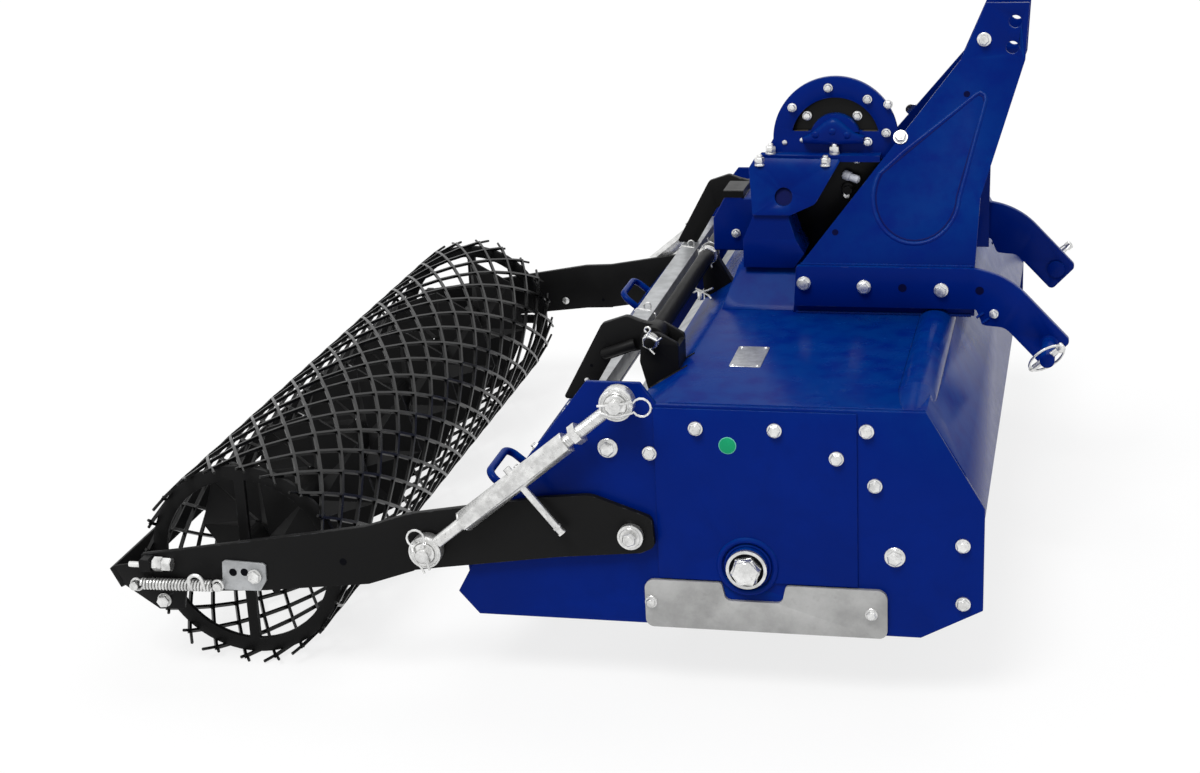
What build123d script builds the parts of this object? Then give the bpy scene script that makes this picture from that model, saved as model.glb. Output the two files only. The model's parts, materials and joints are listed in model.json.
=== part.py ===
from build123d import *
import math
import os

# Stone-burying rotary tiller with a wire-mesh packer roller, for a three-point hitch.
# Frame: +X forward (towards the tractor), +Y left, +Z up, millimetres.
# The model is laid out from the rotor axis (x = 0, ground z = 0) and moved by ORIGIN_X when written,
# so that the origin lies on the ground under the middle of the machine.

ORIGIN_X = 265.0

# --- Hood -------------------------------------------------------------------------------------
WIDTH = 1310.0            # over the two side plates
SIDE_T = 8.0              # side plate thickness
SHELL_T = 6.0             # hood sheet thickness
DECK_Z = 437.0            # top of the flat deck
DECK_REAR_X = -110.0
DECK_FRONT_X = 242.0
HOOD_REAR_X = -172.0
HOOD_REAR_Z = 398.0       # low edge of the rear facet
STRIP_T = 4.0             # galvanised strip under the low edge of the rear facet
STRIP_SEAT = 25.0         # part of it under the sheet
STRIP_OUT = 38.0          # part of it behind the sheet
HOOD_FRONT_X = 328.0
HOOD_FRONT_Z = 284.0      # low edge of the front apron
APRON_FOLD_X = 300.0
APRON_FOLD_Z = 350.0
SIDE_LOW_Z = 103.0        # under edge of the side plates
SIDE_REAR_X = -429.0
SIDE_EAR_Z = 467.0        # top of the ear that carries the turnbuckle
PANEL_T = 3.0             # raised cover on the middle of each side plate
PANEL_REAR_X = -128.0
PANEL_FRONT_X = 155.0
SKID_T = 6.0
SKID_REAR_X = -149.0
SKID_FRONT_X = 196.0
SKID_TOP_Z = 174.0
SKID_LOW_Z = 101.0
TUBE_R = 30.0             # cross tube let into the front of the deck
TUBE_T = 5.0
TUBE_X = 226.0
TUBE_Z = 418.0
TUBE_DROP = 11.0          # its ends slope down by this, to the edge of the side plates
TUBE_SLOPE = 90.0         # length of each sloping end

# --- Rotor ------------------------------------------------------------------------------------
ROTOR_Z = 200.0
ROTOR_TUBE_R = 45.0
ROTOR_FLANGE_R = 105.0
ROTOR_FLANGE_T = 12.0
ROTOR_FLANGES = 7
ROTOR_END = 107.0         # from the side plate to the middle of the end flange
TINES_PER_FLANGE = 4
TINE_T = 10.0
TINE_W = 45.0
TINE_FOOT = 62.0          # reach of a tine's foot along the rotor
STUB_R = 20.0             # shaft ends in the hub bearings
FIT = 0.05                # radial clearance of a shaft in its bearing
GAP = 0.3                 # seat clearance between curved faces
HUB_R = 30.0
HUB_BOSS = 10.0           # hub ring outside the side plate
HUB_INNER_R = 70.0
HUB_INNER_T = 24.0
NUT_AF = 36.0
COLLAR_R = 29.0           # round collar under the hub nut
COLLAR_T = 5.0
NUT_T = 16.0

# --- Headstock --------------------------------------------------------------------------------
LINK_Y = 211.0            # middle of each lower link plate
LINK_T = 12.0
LINK_REAR_X = 8.0
LINK_LOW_Z = 451.0
LINK_TOP_Z = 515.0
LINK_BEND_R = 130.0       # long bend over the hitch end
LINK_TIP_R = 8.0
PIN_X = 398.0             # lower hitch pin
PIN_Z = 398.0
PIN_R = 11.0
PIN_REACH = 82.0
PIN_BASE_R = 14.0         # thicker root of the pin in its plate
PIN_HEAD_R = 14.5
PIN_HEAD_T = 3.0
MAST_T = 7.0
MAST_TOP_Y = 45.0         # outer face of the upper mast strip from the middle
MAST_TOP_Z = 891.0
MAST_FRONT_X = 349.0      # front edge at the upper fold
MAST_FOLD_Z = MAST_TOP_Z - 88.0
TOP_HOLE_R = 10.0
TOP_HOLES = [             # (from the front edge, down from the top)
    (16.0, 29.0),
    (20.0, 69.0),
]
SPACER_IN = 63.0          # spacer, from the front edge
SPACER_DOWN = 49.0
SPACER_R = 14.0

# --- Gearbox ----------------------------------------------------------------------------------
PED_REAR_X = -110.0
PED_FRONT_X = 160.0
PED_TOP_Z = 495.0
PED_TOP_Y = 140.0
PED_DRAFT = 20.0          # slope of its front and rear faces
BOX_REAR_X = -55.0
BOX_FRONT_X = 150.0
BOX_HALF = 85.0
BOX_TOP_Z = 689.0         # height of the gear axis, where the round top begins
ARCH_X = 60.0             # middle of the round cover on the right
ARCH_R = 98.0
ARCH_TUBE_R = 80.0        # round top of the casting behind it
ARCH_TUBE_L = 60.0
BOX_LOW_Z = 655.0         # top of the casting behind the round part
ARCH_T = 10.0
WINDOW_R = 70.0           # opening in the cover
WINDOW_Z = 701.0          # its flat lower edge
WINDOW_DROP = 4.5         # its middle lies below the gear axis
DOME_TOP_Z = 729.0
DOME_HALF = 38.0
LIP_OUT = 22.0            # shelf under the round cover
LIP_LOW_Z = 657.0
LIP_TOP_Z = 667.0
SKIRT_REAR_X = -57.0
SKIRT_FRONT_X = 132.0
SHIELD_T = 6.0
SHIELD_LEAN = 34.0        # the shield's foot stands out by this
SHIELD_HOLE_R = 14.0
HIP_OUT = 62.0            # hipped box, outwards from the cover
HIP_TOP_Z = 580.0
HIP_EAVE_Z = 540.0
REAR_BOX_X = -145.0       # cover behind the casting
REAR_BOX_IN = 25.0        # its right face, in from the casting's
REAR_BOX_DEPTH = 65.0
REAR_BOX_TOP_Z = 583.0
REAR_SLOPE_X = 19.0       # sloping upper rear edge of the cover
REAR_SLOPE_Z = 35.0
REAR_LIP = 12.0
REAR_LIP_L = 32.0
PTO_Z = 600.0
PTO_R = 17.4
PTO_ROOT_R = 20.0         # shaft in its bearing
PTO_ROOT = 60.0           # depth of the bearing in the gearbox
PTO_NECK_R = 48.0
PTO_NECK = 30.0
PTO_SHAFT = 72.0
PTO_GUARD_R = 74.0
PTO_GUARD = 105.0
DRIVE_X = -30.0           # cross drive to the side case
DRIVE_Z = 535.0
DRIVE_R = 34.0
CASE_T = 66.0             # side drive case thickness
CASE_LOW_R = 70.0
CASE_TOP_R = 62.0

# --- Levelling board --------------------------------------------------------------------------
HINGE_X = -165.0
HINGE_Z = 473.0
HINGE_Y = 450.0
HINGE_R = 8.0
HINGE_BOSS_R = 17.0
HINGE_PIN_OUT = 14.0      # pin ends beyond the cheeks
BOARD_T = 6.0
BOARD_TOP_X = -290.0      # outer face of the board: top edge, fold and low edge
BOARD_TOP_Z = 366.0
BOARD_FOLD_X = -420.0
BOARD_FOLD_Z = 206.0
BOARD_LOW_X = -414.0
BOARD_LOW_Z = 150.0
BOARD_LIP = 28.0
BOARD_CLEAR = 7.0         # between the board's ends and the side plates
RAIL_T = 5.0              # galvanised angle on the top edge of the board
RAIL_W = 32.0
RAIL_H = 32.0
RAIL_BACK = 4.0           # angle overhangs the board's outer face
HANDLE_R = 6.0
HANDLE_Y = 471.0
HANDLE_W = 110.0
HANDLE_OUT = 36.0
HANDLE_DOWN = 150.0       # handle's place down the board from its top edge
ARM_PLATE_T = 12.0
CHEEK_T = 8.0
CHEEK_IN = 21.0           # inner face of each cheek from the middle of the arm
CHEEK_GAP = 1.0
CHEEK_FROM = 18.0         # front of the hinge bracket, down the facet from the deck's edge
CHEEK_FRONT_Z = 468.0
CHEEK_REAR_X = -183.0
CHEEK_TOP_Z = 485.0
HINGE_TUBE_R = 13.0       # tube between the brackets, round the ends of their pins
LUG_HALF = 9.0            # middle lug under the tube

# --- Roller and its arms ----------------------------------------------------------------------
ARM_X = -163.0            # arm pivot
ARM_Z = 245.0
ARM_T = 10.0
ARM_SIDE_GAP = 5.0        # arm off the side plate, on its washer
ARM_PIVOT_R = 15.0
ARM_CAP_R = 18.5
ARM_JOG = 30.0            # outward set of the arm's rear part
ROLLER_X = -770.0
ROLLER_R = 157.0
MESH_T = 5.0
MESH_SIDES = 40
MESH_CLEAR = 50.0         # between the mesh and the arms
MESH_ROWS = 28
WIRE_W = 4.6
RING_T = 8.0
RING_H = 22.0
RING_IN = 18.0            # end ring in from the end of the mesh
AXLE_R = 14.0
AXLE_TUBE_R = 30.0
SPOKE_W = 16.0
AUGER_R = 125.0
AUGER_PITCH = 235.0
AUGER_T = 5.0
AUGER_STEPS = 8
SCRAPER_X = -953.0
SCRAPER_Z = 147.0
SCRAPER_W = 34.0
SCRAPER_T = 8.0
SCRAPER_LEAN = 27.0       # upper edge leans back from the roller, degrees
BRACKET_T = 6.0

# --- Turnbuckles ------------------------------------------------------------------------------
BUCKLE_OUT = 32.0         # middle of the turnbuckles, out from the side plates
EYE_HIGH_X = -171.0
EYE_HIGH_Z = 449.0
EYE_LOW_X = -463.0
EYE_LOW_Z = 214.0
EYE_R = 24.0
EYE_T = 20.0
BUCKLE_PIN_R = 9.5
ROD_R = 9.0
HEX_AF = 28.0
HEX_FROM = 95.0           # hexagon body, from the upper eye
HEX_TO = 300.0
LOCK_FROM = 70.0
LOCK_NUT_T = 12.0
SOCKET_FROM = 116.0       # bottom of the threaded hole for the rod
ROD_FROM = 165.0
TOMMY_AT = 193.0          # tommy bar, from the upper eye
TOMMY_R = 5.5
TOMMY_REACH = 100.0
TOMMY_STUB = 23.0
EYE_PLAY = 1.6            # play of the lower eye on its pin

HALF = WIDTH / 2
BUCKLE_Y = HALF + BUCKLE_OUT
INNER = HALF - SIDE_T
ROTOR_HALF = INNER - ROTOR_END
BOARD_HALF = INNER - BOARD_CLEAR
MESH_HALF = HALF + ARM_SIDE_GAP + ARM_JOG - MESH_CLEAR
RING_Y = MESH_HALF - RING_IN
ROLLER_Z = ROLLER_R * math.cos(math.pi / MESH_SIDES)


# --- Shapes -----------------------------------------------------------------------------------
def slab(outline, y_low, y_high, corners=None):
    """Upright plate along X: (x, z) corners, between two places across the machine."""
    points = [(x, y_low, z) for x, z in outline]
    if corners:
        edge = FilletPolyline(*points, radius=corners, close=True)
    else:
        edge = Polyline(*points, close=True)
    return extrude(make_face(edge), amount=y_high - y_low, dir=(0, 1, 0))


def bar_y(x, z, radius, y_low, y_high):
    return Pos(x, (y_low + y_high) / 2, z) * Rot(90, 0, 0) * Cylinder(radius, y_high - y_low)


def bar_x(y, z, radius, x_low, x_high):
    return Pos((x_low + x_high) / 2, y, z) * Rot(0, 90, 0) * Cylinder(radius, x_high - x_low)


def block(x_low, x_high, y_low, y_high, z_low, z_high):
    middle = ((x_low + x_high) / 2, (y_low + y_high) / 2, (z_low + z_high) / 2)
    return Pos(*middle) * Box(x_high - x_low, y_high - y_low, z_high - z_low)


def off_line(start, end, along, out):
    """Point in (x, z) at a distance along a line from its start, and off it on its left."""
    length = math.hypot(end[0] - start[0], end[1] - start[1])
    dx = (end[0] - start[0]) / length
    dz = (end[1] - start[1]) / length
    return (start[0] + along * dx - out * dz, start[1] + along * dz + out * dx)


def other_side(shape):
    return mirror(shape, about=Plane.XZ)


def write(name, *shapes):
    """One STEP file for a node, moved from the rotor axis to the machine's own origin."""
    os.makedirs("parts", exist_ok=True)
    moved = [Pos(ORIGIN_X, 0, 0) * shape for shape in shapes]
    solids = [solid for shape in moved for solid in shape.solids()]
    export_step(solids[0] if len(solids) == 1 else Compound(solids), f"parts/{name}.step")


# --- Hood -------------------------------------------------------------------------------------
SIDE_OUTLINE = [
    (SIDE_REAR_X, 138), (-399, SIDE_LOW_Z), (DECK_FRONT_X, SIDE_LOW_Z), (HOOD_FRONT_X - 1, 149),
    (HOOD_FRONT_X, 300), (DECK_FRONT_X + 6, DECK_Z), (-124, DECK_Z), (-146, SIDE_EAR_Z),
    (-223, SIDE_EAR_Z), (-309, 355),
]


def tube_shape(radius):
    """Round bar across the hood with sloping ends, cut off at the side plates."""
    knee = INNER - TUBE_SLOPE
    beyond = INNER + TUBE_SLOPE
    low = TUBE_Z - 2 * TUBE_DROP
    path = Polyline((TUBE_X, -beyond, low), (TUBE_X, -knee, TUBE_Z), (TUBE_X, knee, TUBE_Z),
                    (TUBE_X, beyond, low))
    start = Plane((TUBE_X, -beyond, low), z_dir=path % 0)
    bar = sweep(start * Circle(radius), path=path, transition=Transition.RIGHT)
    reach = 2 * radius
    return bar & block(TUBE_X - reach, TUBE_X + reach, -INNER, INNER, low - reach, TUBE_Z + reach)


def cross_tube():
    return tube_shape(TUBE_R) - tube_shape(TUBE_R - TUBE_T)


def deck():
    """Flat deck with its rear facet, from the rear opening to the cross tube."""
    t = SHELL_T
    fold = (DECK_REAR_X, DECK_Z)
    edge = (HOOD_REAR_X, HOOD_REAR_Z)
    facet = math.hypot(fold[0] - edge[0], fold[1] - edge[1])
    outline = [(TUBE_X, DECK_Z), fold, edge, off_line(fold, edge, facet, t),
               off_line(fold, edge, t / 4, t), (TUBE_X, DECK_Z - t)]
    return slab(outline, -INNER, INNER) - tube_shape(TUBE_R + GAP)


def hood_strip():
    """Flat bar under the low edge of the rear facet."""
    fold = (DECK_REAR_X, DECK_Z)
    edge = (HOOD_REAR_X, HOOD_REAR_Z)
    facet = math.hypot(fold[0] - edge[0], fold[1] - edge[1])
    outline = [off_line(fold, edge, facet - STRIP_SEAT, SHELL_T),
               off_line(fold, edge, facet + STRIP_OUT, SHELL_T),
               off_line(fold, edge, facet + STRIP_OUT, SHELL_T + STRIP_T),
               off_line(fold, edge, facet - STRIP_SEAT, SHELL_T + STRIP_T)]
    return slab(outline, -INNER, INNER)


def apron():
    """Sloping front sheet from the cross tube down to the mouth."""
    t = SHELL_T
    outline = [(TUBE_X, DECK_Z), (DECK_FRONT_X + t, DECK_Z), (APRON_FOLD_X, APRON_FOLD_Z),
               (HOOD_FRONT_X, HOOD_FRONT_Z), (HOOD_FRONT_X - t, HOOD_FRONT_Z),
               (APRON_FOLD_X - t, APRON_FOLD_Z), (DECK_FRONT_X + t / 2, DECK_Z - t),
               (TUBE_X, DECK_Z - t)]
    return slab(outline, -INNER, INNER) - tube_shape(TUBE_R + GAP)


def side_plate():
    return slab(SIDE_OUTLINE, -HALF, -INNER) - bar_y(0, ROTOR_Z, HUB_R, -HALF - 1, -INNER + 1)


def side_panel():
    outline = [(PANEL_REAR_X, SKID_TOP_Z + 2), (PANEL_FRONT_X, SKID_TOP_Z + 2),
               (PANEL_FRONT_X, DECK_Z - 4), (PANEL_REAR_X, DECK_Z - 4)]
    hole = bar_y(0, ROTOR_Z, HUB_R + 6, -HALF - PANEL_T - 1, -HALF + 1)
    return slab(outline, -HALF - PANEL_T, -HALF) - hole


def skid():
    outline = [(SKID_REAR_X, SKID_TOP_Z), (SKID_REAR_X, SKID_LOW_Z), (SKID_FRONT_X, SKID_LOW_Z),
               (SKID_FRONT_X, SKID_TOP_Z), (54, SKID_TOP_Z), (48, 147), (-32, 147), (-38, SKID_TOP_Z)]
    return slab(outline, -HALF - SKID_T, -HALF, [14, 12, 12, 14, 5, 10, 10, 5])


def hub(boss):
    """Bearing housing: a ring through the side plate and a wider flange inside it."""
    ring = bar_y(0, ROTOR_Z, HUB_R - GAP, -HALF - boss, -INNER)
    flange = bar_y(0, ROTOR_Z, HUB_INNER_R, -INNER, -INNER + HUB_INNER_T)
    bore = bar_y(0, ROTOR_Z, STUB_R + FIT, -HALF - boss - 1, -INNER + HUB_INNER_T + 1)
    return ring + flange - bore


def side_case(grow=0.0):
    """Drive case on the left side plate, from the cross drive down to the rotor."""
    high = HALF + CASE_T
    dx = DRIVE_X
    dz = DRIVE_Z - ROTOR_Z
    span = math.hypot(dx, dz)
    lean = math.atan2(dx, dz)
    taper = math.asin((CASE_LOW_R - CASE_TOP_R) / span)
    outline = []
    for x, z, radius, side in [(0, ROTOR_Z, CASE_LOW_R, -1), (0, ROTOR_Z, CASE_LOW_R, 1),
                               (dx, DRIVE_Z, CASE_TOP_R, 1), (dx, DRIVE_Z, CASE_TOP_R, -1)]:
        angle = side * (math.pi / 2 - taper) + lean
        reach = radius + grow
        outline.append((x + reach * math.sin(angle), z + reach * math.cos(angle)))
    case = slab(outline, HALF, high)
    case += bar_y(0, ROTOR_Z, CASE_LOW_R + grow, HALF, high)
    case += bar_y(DRIVE_X, DRIVE_Z, CASE_TOP_R + grow, HALF, high)
    return case


# --- Rotor ------------------------------------------------------------------------------------
def flange_places():
    step = 2 * ROTOR_HALF / (ROTOR_FLANGES - 1)
    return [-ROTOR_HALF + step * i for i in range(ROTOR_FLANGES)]


def rotor_shaft():
    shaft = bar_y(0, ROTOR_Z, ROTOR_TUBE_R, -ROTOR_HALF - 20, ROTOR_HALF + 20)
    for y in flange_places():
        shaft += bar_y(0, ROTOR_Z, ROTOR_FLANGE_R, y - ROTOR_FLANGE_T / 2, y + ROTOR_FLANGE_T / 2)
    shaft += bar_y(0, ROTOR_Z, STUB_R, -HALF - HUB_BOSS - 1, HALF - 1)
    return shaft


def rotor_nut():
    nut = extrude(RegularPolygon(NUT_AF / 2, 6, major_radius=False), NUT_T)
    nut += Pos(0, 0, COLLAR_T / 2) * Cylinder(COLLAR_R, COLLAR_T)
    place = Pos(0, -HALF - HUB_BOSS - 1, ROTOR_Z) * Rot(90, 0, 0)
    return place * nut


def tine(hand):
    """L-shaped tine on a flange, standing on the ground; hand is the side its foot turns to."""
    face = ROTOR_FLANGE_T / 2
    shank = block(-TINE_W / 2, TINE_W / 2, face, face + TINE_T, 0, ROTOR_Z - ROTOR_TUBE_R - 5)
    foot = block(-TINE_W / 2, TINE_W / 2, face, face + TINE_FOOT, 0, TINE_T)
    return shank + foot if hand > 0 else other_side(shank + foot)


def rotor_tines():
    """Tines on both faces of each flange, turned a step further on each flange from the middle."""
    places = flange_places()
    middle = (len(places) - 1) / 2
    turn = 360 / TINES_PER_FLANGE
    tines = []
    for i, y in enumerate(places):
        phase = abs(i - middle) / middle * turn / 2
        for k in range(TINES_PER_FLANGE):
            hand = 1 if k % 2 == 0 else -1
            if i in (0, len(places) - 1):
                hand = 1 if i == 0 else -1
            spin = Pos(0, y, ROTOR_Z) * Rot(0, phase + k * turn, 0) * Pos(0, 0, -ROTOR_Z)
            tines.append(spin * tine(hand))
    return tines


# --- Headstock --------------------------------------------------------------------------------
def link_plate():
    outline = [(LINK_REAR_X, LINK_LOW_Z), (LINK_REAR_X + 4, LINK_TOP_Z), (325, LINK_TOP_Z),
               (431, 403), (391, 361), (332, 423), (298, 426), (288, LINK_LOW_Z)]
    corners = [3, 4, LINK_BEND_R, LINK_TIP_R, LINK_TIP_R, 25, 8, 5]
    plate = slab(outline, -LINK_Y - LINK_T / 2, -LINK_Y + LINK_T / 2, corners)
    return plate - bar_y(PIN_X, PIN_Z, PIN_BASE_R + FIT, -LINK_Y - LINK_T, -LINK_Y + LINK_T)


def hitch_pin():
    outer = -LINK_Y - LINK_T / 2
    inner = -LINK_Y + LINK_T / 2
    pin = bar_y(PIN_X, PIN_Z, PIN_R, outer - PIN_REACH, outer)
    pin += bar_y(PIN_X, PIN_Z, PIN_BASE_R, outer, inner)
    return pin + bar_y(PIN_X, PIN_Z, PIN_HEAD_R, inner, inner + PIN_HEAD_T)


def mast_plate():
    """Folded plate: upright foot, panel leaning inwards, upright top strip."""
    foot_y = -LINK_Y + LINK_T / 2
    lean = (foot_y + MAST_TOP_Y) / (LINK_TOP_Z - MAST_FOLD_Z)

    def leaning(x, z):
        return (x, foot_y + (z - LINK_TOP_Z) * lean, z)

    foot = slab([(4, DECK_Z), (18, LINK_TOP_Z), (285, LINK_TOP_Z), (285, DECK_Z)],
                foot_y, foot_y + MAST_T) - tube_shape(TUBE_R + GAP)
    panel_edge = [leaning(18, LINK_TOP_Z), leaning(285, LINK_TOP_Z), leaning(289, 610),
                  leaning(MAST_FRONT_X, MAST_FOLD_Z), leaning(250, MAST_FOLD_Z)]
    panel = extrude(make_face(Polyline(*panel_edge, close=True)), amount=MAST_T, dir=(0, 1, 0))
    top = slab([(250, MAST_FOLD_Z), (MAST_FRONT_X, MAST_FOLD_Z), (MAST_FRONT_X + 5, MAST_TOP_Z),
                (MAST_FRONT_X - 61, MAST_TOP_Z)], -MAST_TOP_Y, -MAST_TOP_Y + MAST_T)
    for back, down in TOP_HOLES:
        top -= bar_y(MAST_FRONT_X - back, MAST_TOP_Z - down, TOP_HOLE_R,
                     -MAST_TOP_Y - 1, -MAST_TOP_Y + MAST_T + 1)
    return foot + panel + top


def mast_spacer():
    reach = MAST_TOP_Y - MAST_T
    return bar_y(MAST_FRONT_X - SPACER_IN, MAST_TOP_Z - SPACER_DOWN, SPACER_R, -reach, reach)


# --- Gearbox ----------------------------------------------------------------------------------
def pedestal():
    """Raised base between the mast feet, narrower at its top."""
    foot = LINK_Y - LINK_T / 2 - MAST_T - GAP
    low = Plane.XY.offset(DECK_Z) * Pos((PED_REAR_X + PED_FRONT_X) / 2, 0)
    high = Plane.XY.offset(PED_TOP_Z) * Pos((PED_REAR_X + PED_FRONT_X) / 2, 0)
    long = PED_FRONT_X - PED_REAR_X
    return loft([low * Rectangle(long, 2 * foot),
                 high * Rectangle(long - 2 * PED_DRAFT, 2 * PED_TOP_Y)])


def gearbox():
    """Casting with a round top behind the right-hand flange and an input neck in front."""
    step = -BOX_HALF + ARCH_TUBE_L
    body = block(BOX_REAR_X, BOX_FRONT_X, -BOX_HALF, BOX_HALF, PED_TOP_Z, BOX_LOW_Z)
    body += block(ARCH_X - ARCH_TUBE_R, BOX_FRONT_X, -BOX_HALF, step, BOX_LOW_Z, BOX_TOP_Z)
    body += bar_y(ARCH_X, BOX_TOP_Z, ARCH_TUBE_R, -BOX_HALF, step)
    body += bar_x(0, PTO_Z, PTO_NECK_R, BOX_FRONT_X, BOX_FRONT_X + PTO_NECK)
    return body - bar_x(0, PTO_Z, PTO_ROOT_R + FIT, BOX_FRONT_X - PTO_ROOT, BOX_FRONT_X + PTO_NECK + 1)


def gearbox_rear():
    """Cover behind the casting's right half, with a sloping upper edge and a lip on top."""
    slope_x = REAR_BOX_X + REAR_SLOPE_X
    outline = [(BOX_REAR_X, PED_TOP_Z), (REAR_BOX_X, PED_TOP_Z),
               (REAR_BOX_X, REAR_BOX_TOP_Z - REAR_SLOPE_Z), (slope_x, REAR_BOX_TOP_Z),
               (slope_x, REAR_BOX_TOP_Z + REAR_LIP), (slope_x + REAR_LIP_L, REAR_BOX_TOP_Z + REAR_LIP),
               (slope_x + REAR_LIP_L, REAR_BOX_TOP_Z), (BOX_REAR_X, REAR_BOX_TOP_Z)]
    right = -BOX_HALF + REAR_BOX_IN
    return slab(outline, right, right + REAR_BOX_DEPTH)


def gearbox_flange():
    """Cover on the right of the casting: arch with a window, dome, flared skirt and shelf."""
    y = -BOX_HALF - ARCH_T
    arch = bar_y(ARCH_X, BOX_TOP_Z, ARCH_R, y, -BOX_HALF)
    window = bar_y(ARCH_X, BOX_TOP_Z - WINDOW_DROP, WINDOW_R, y - 1, -BOX_HALF + 1)
    above = block(ARCH_X - ARCH_R, ARCH_X + ARCH_R, y - 20, -BOX_HALF + 2,
                  WINDOW_Z, BOX_TOP_Z + ARCH_R)
    skirt = slab([(SKIRT_REAR_X, LIP_LOW_Z), (ARCH_X - ARCH_R, BOX_TOP_Z),
                  (ARCH_X + ARCH_R, BOX_TOP_Z), (SKIRT_FRONT_X, LIP_LOW_Z)], y, -BOX_HALF)
    shelf = block(SKIRT_REAR_X, SKIRT_FRONT_X, y - LIP_OUT, y, LIP_LOW_Z, LIP_TOP_Z)
    dome_r = (DOME_HALF ** 2 + (DOME_TOP_Z - WINDOW_Z) ** 2) / (2 * (DOME_TOP_Z - WINDOW_Z))
    dome = bar_y(ARCH_X, DOME_TOP_Z - dome_r, dome_r, y - 6, -BOX_HALF) & above
    below = block(ARCH_X - ARCH_R, ARCH_X + ARCH_R, y - 1, -BOX_HALF + 1,
                  BOX_TOP_Z - ARCH_R - 1, LIP_LOW_Z)
    return (arch - (window & above) - below) + skirt + shelf + dome


def gearbox_shield():
    """Plate leaning outwards from the shelf down to the hipped box."""
    top_y = -BOX_HALF - ARCH_T - LIP_OUT - SHIELD_T
    top_z = LIP_TOP_Z - 3
    foot_z = HIP_TOP_Z
    lean = SHIELD_LEAN / (top_z - foot_z)
    outline = [(-73, 649), (-64, top_z), (72, top_z - 2), (34, 597), (-5, foot_z), (-64, foot_z)]
    points = [(x, top_y - (top_z - z) * lean, z) for x, z in outline]
    edge = FilletPolyline(*points, radius=[4, 3, 3, 14, 8, 2], close=True)
    plate = extrude(make_face(edge), amount=SHIELD_T, dir=(0, 1, 0))
    return plate - bar_y(-16, 607, SHIELD_HOLE_R, top_y - SHIELD_LEAN - 1, -BOX_HALF)


def gearbox_guard():
    """Box with a hipped roof under the shield, on the right of the casting."""
    out = -BOX_HALF - ARCH_T - HIP_OUT
    body = slab([(-80, PED_TOP_Z), (0, PED_TOP_Z), (17, 518), (4, HIP_EAVE_Z), (-80, HIP_EAVE_Z)],
                out, -BOX_HALF)
    top_out = -BOX_HALF - ARCH_T - LIP_OUT - SHIELD_LEAN + GAP
    eave = Plane.XY.offset(HIP_EAVE_Z) * Pos(-38, (out - BOX_HALF) / 2)
    ridge = Plane.XY.offset(HIP_TOP_Z) * Pos(-36, (top_out - BOX_HALF) / 2)
    roof = loft([eave * Rectangle(84, -BOX_HALF - out), ridge * Rectangle(54, -BOX_HALF - top_out)])
    return body + roof


def pto_shaft():
    mouth = BOX_FRONT_X + PTO_NECK
    root = bar_x(0, PTO_Z, PTO_ROOT_R, BOX_FRONT_X - PTO_ROOT + 2, mouth)
    return root + bar_x(0, PTO_Z, PTO_R, mouth, mouth + PTO_SHAFT)


def pto_guard():
    x = BOX_FRONT_X + 4
    cone = bar_x(0, PTO_Z, PTO_GUARD_R, x, x + PTO_GUARD)
    return cone - bar_x(0, PTO_Z, PTO_GUARD_R - 4, x + 4, x + PTO_GUARD + 1) \
        - bar_x(0, PTO_Z, PTO_NECK_R + GAP, x - 1, x + 5)


def drive_tube():
    return bar_y(DRIVE_X, DRIVE_Z, DRIVE_R, BOX_HALF, HALF)


# --- Levelling board --------------------------------------------------------------------------
def deck_bracket():
    """Two cheeks joined by a front plate on the rear facet, with one board arm's hinge pin."""
    fold = (DECK_REAR_X, DECK_Z)
    edge = (HOOD_REAR_X, HOOD_REAR_Z)
    heel = off_line(fold, edge, CHEEK_FROM, 0)
    inside = off_line(fold, edge, CHEEK_FROM + CHEEK_T, 0)
    out_y = CHEEK_IN + CHEEK_T
    outline = [heel, edge, (CHEEK_REAR_X, 440), (HINGE_X - 14, CHEEK_TOP_Z),
               (HINGE_X + 10, CHEEK_TOP_Z), (heel[0], CHEEK_FRONT_Z)]
    corners = [0, 0, 8, 6, 8, 6]
    bracket = slab(outline, -HINGE_Y - out_y, -HINGE_Y - CHEEK_IN, corners)
    bracket += slab(outline, -HINGE_Y + CHEEK_IN, -HINGE_Y + out_y, corners)
    front = [heel, (heel[0], CHEEK_FRONT_Z - 6), (inside[0], CHEEK_FRONT_Z - 6), inside]
    bracket += slab(front, -HINGE_Y - CHEEK_IN, -HINGE_Y + CHEEK_IN)
    pin_end = out_y + HINGE_PIN_OUT
    return bracket + bar_y(HINGE_X, HINGE_Z, HINGE_R, -HINGE_Y - pin_end, -HINGE_Y + pin_end)


def hinge_tube():
    """Tube on the hinge axis between the two brackets, on a lug in the middle of the facet."""
    fold = (DECK_REAR_X, DECK_Z)
    edge = (HOOD_REAR_X, HOOD_REAR_Z)
    inner = HINGE_Y - CHEEK_IN - CHEEK_T
    bore = HINGE_R + GAP
    depth = HINGE_PIN_OUT + GAP
    tube = bar_y(HINGE_X, HINGE_Z, HINGE_TUBE_R, -inner, inner)
    for low, high in ((-inner - 1, -inner + depth), (inner - depth, inner + 1)):
        tube -= bar_y(HINGE_X, HINGE_Z, bore, low, high)
    lug = slab([off_line(fold, edge, CHEEK_FROM, 0), edge, (HINGE_X - HINGE_TUBE_R, HINGE_Z),
                (HINGE_X + HINGE_TUBE_R, HINGE_Z)], -LUG_HALF, LUG_HALF)
    return tube + lug


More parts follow.
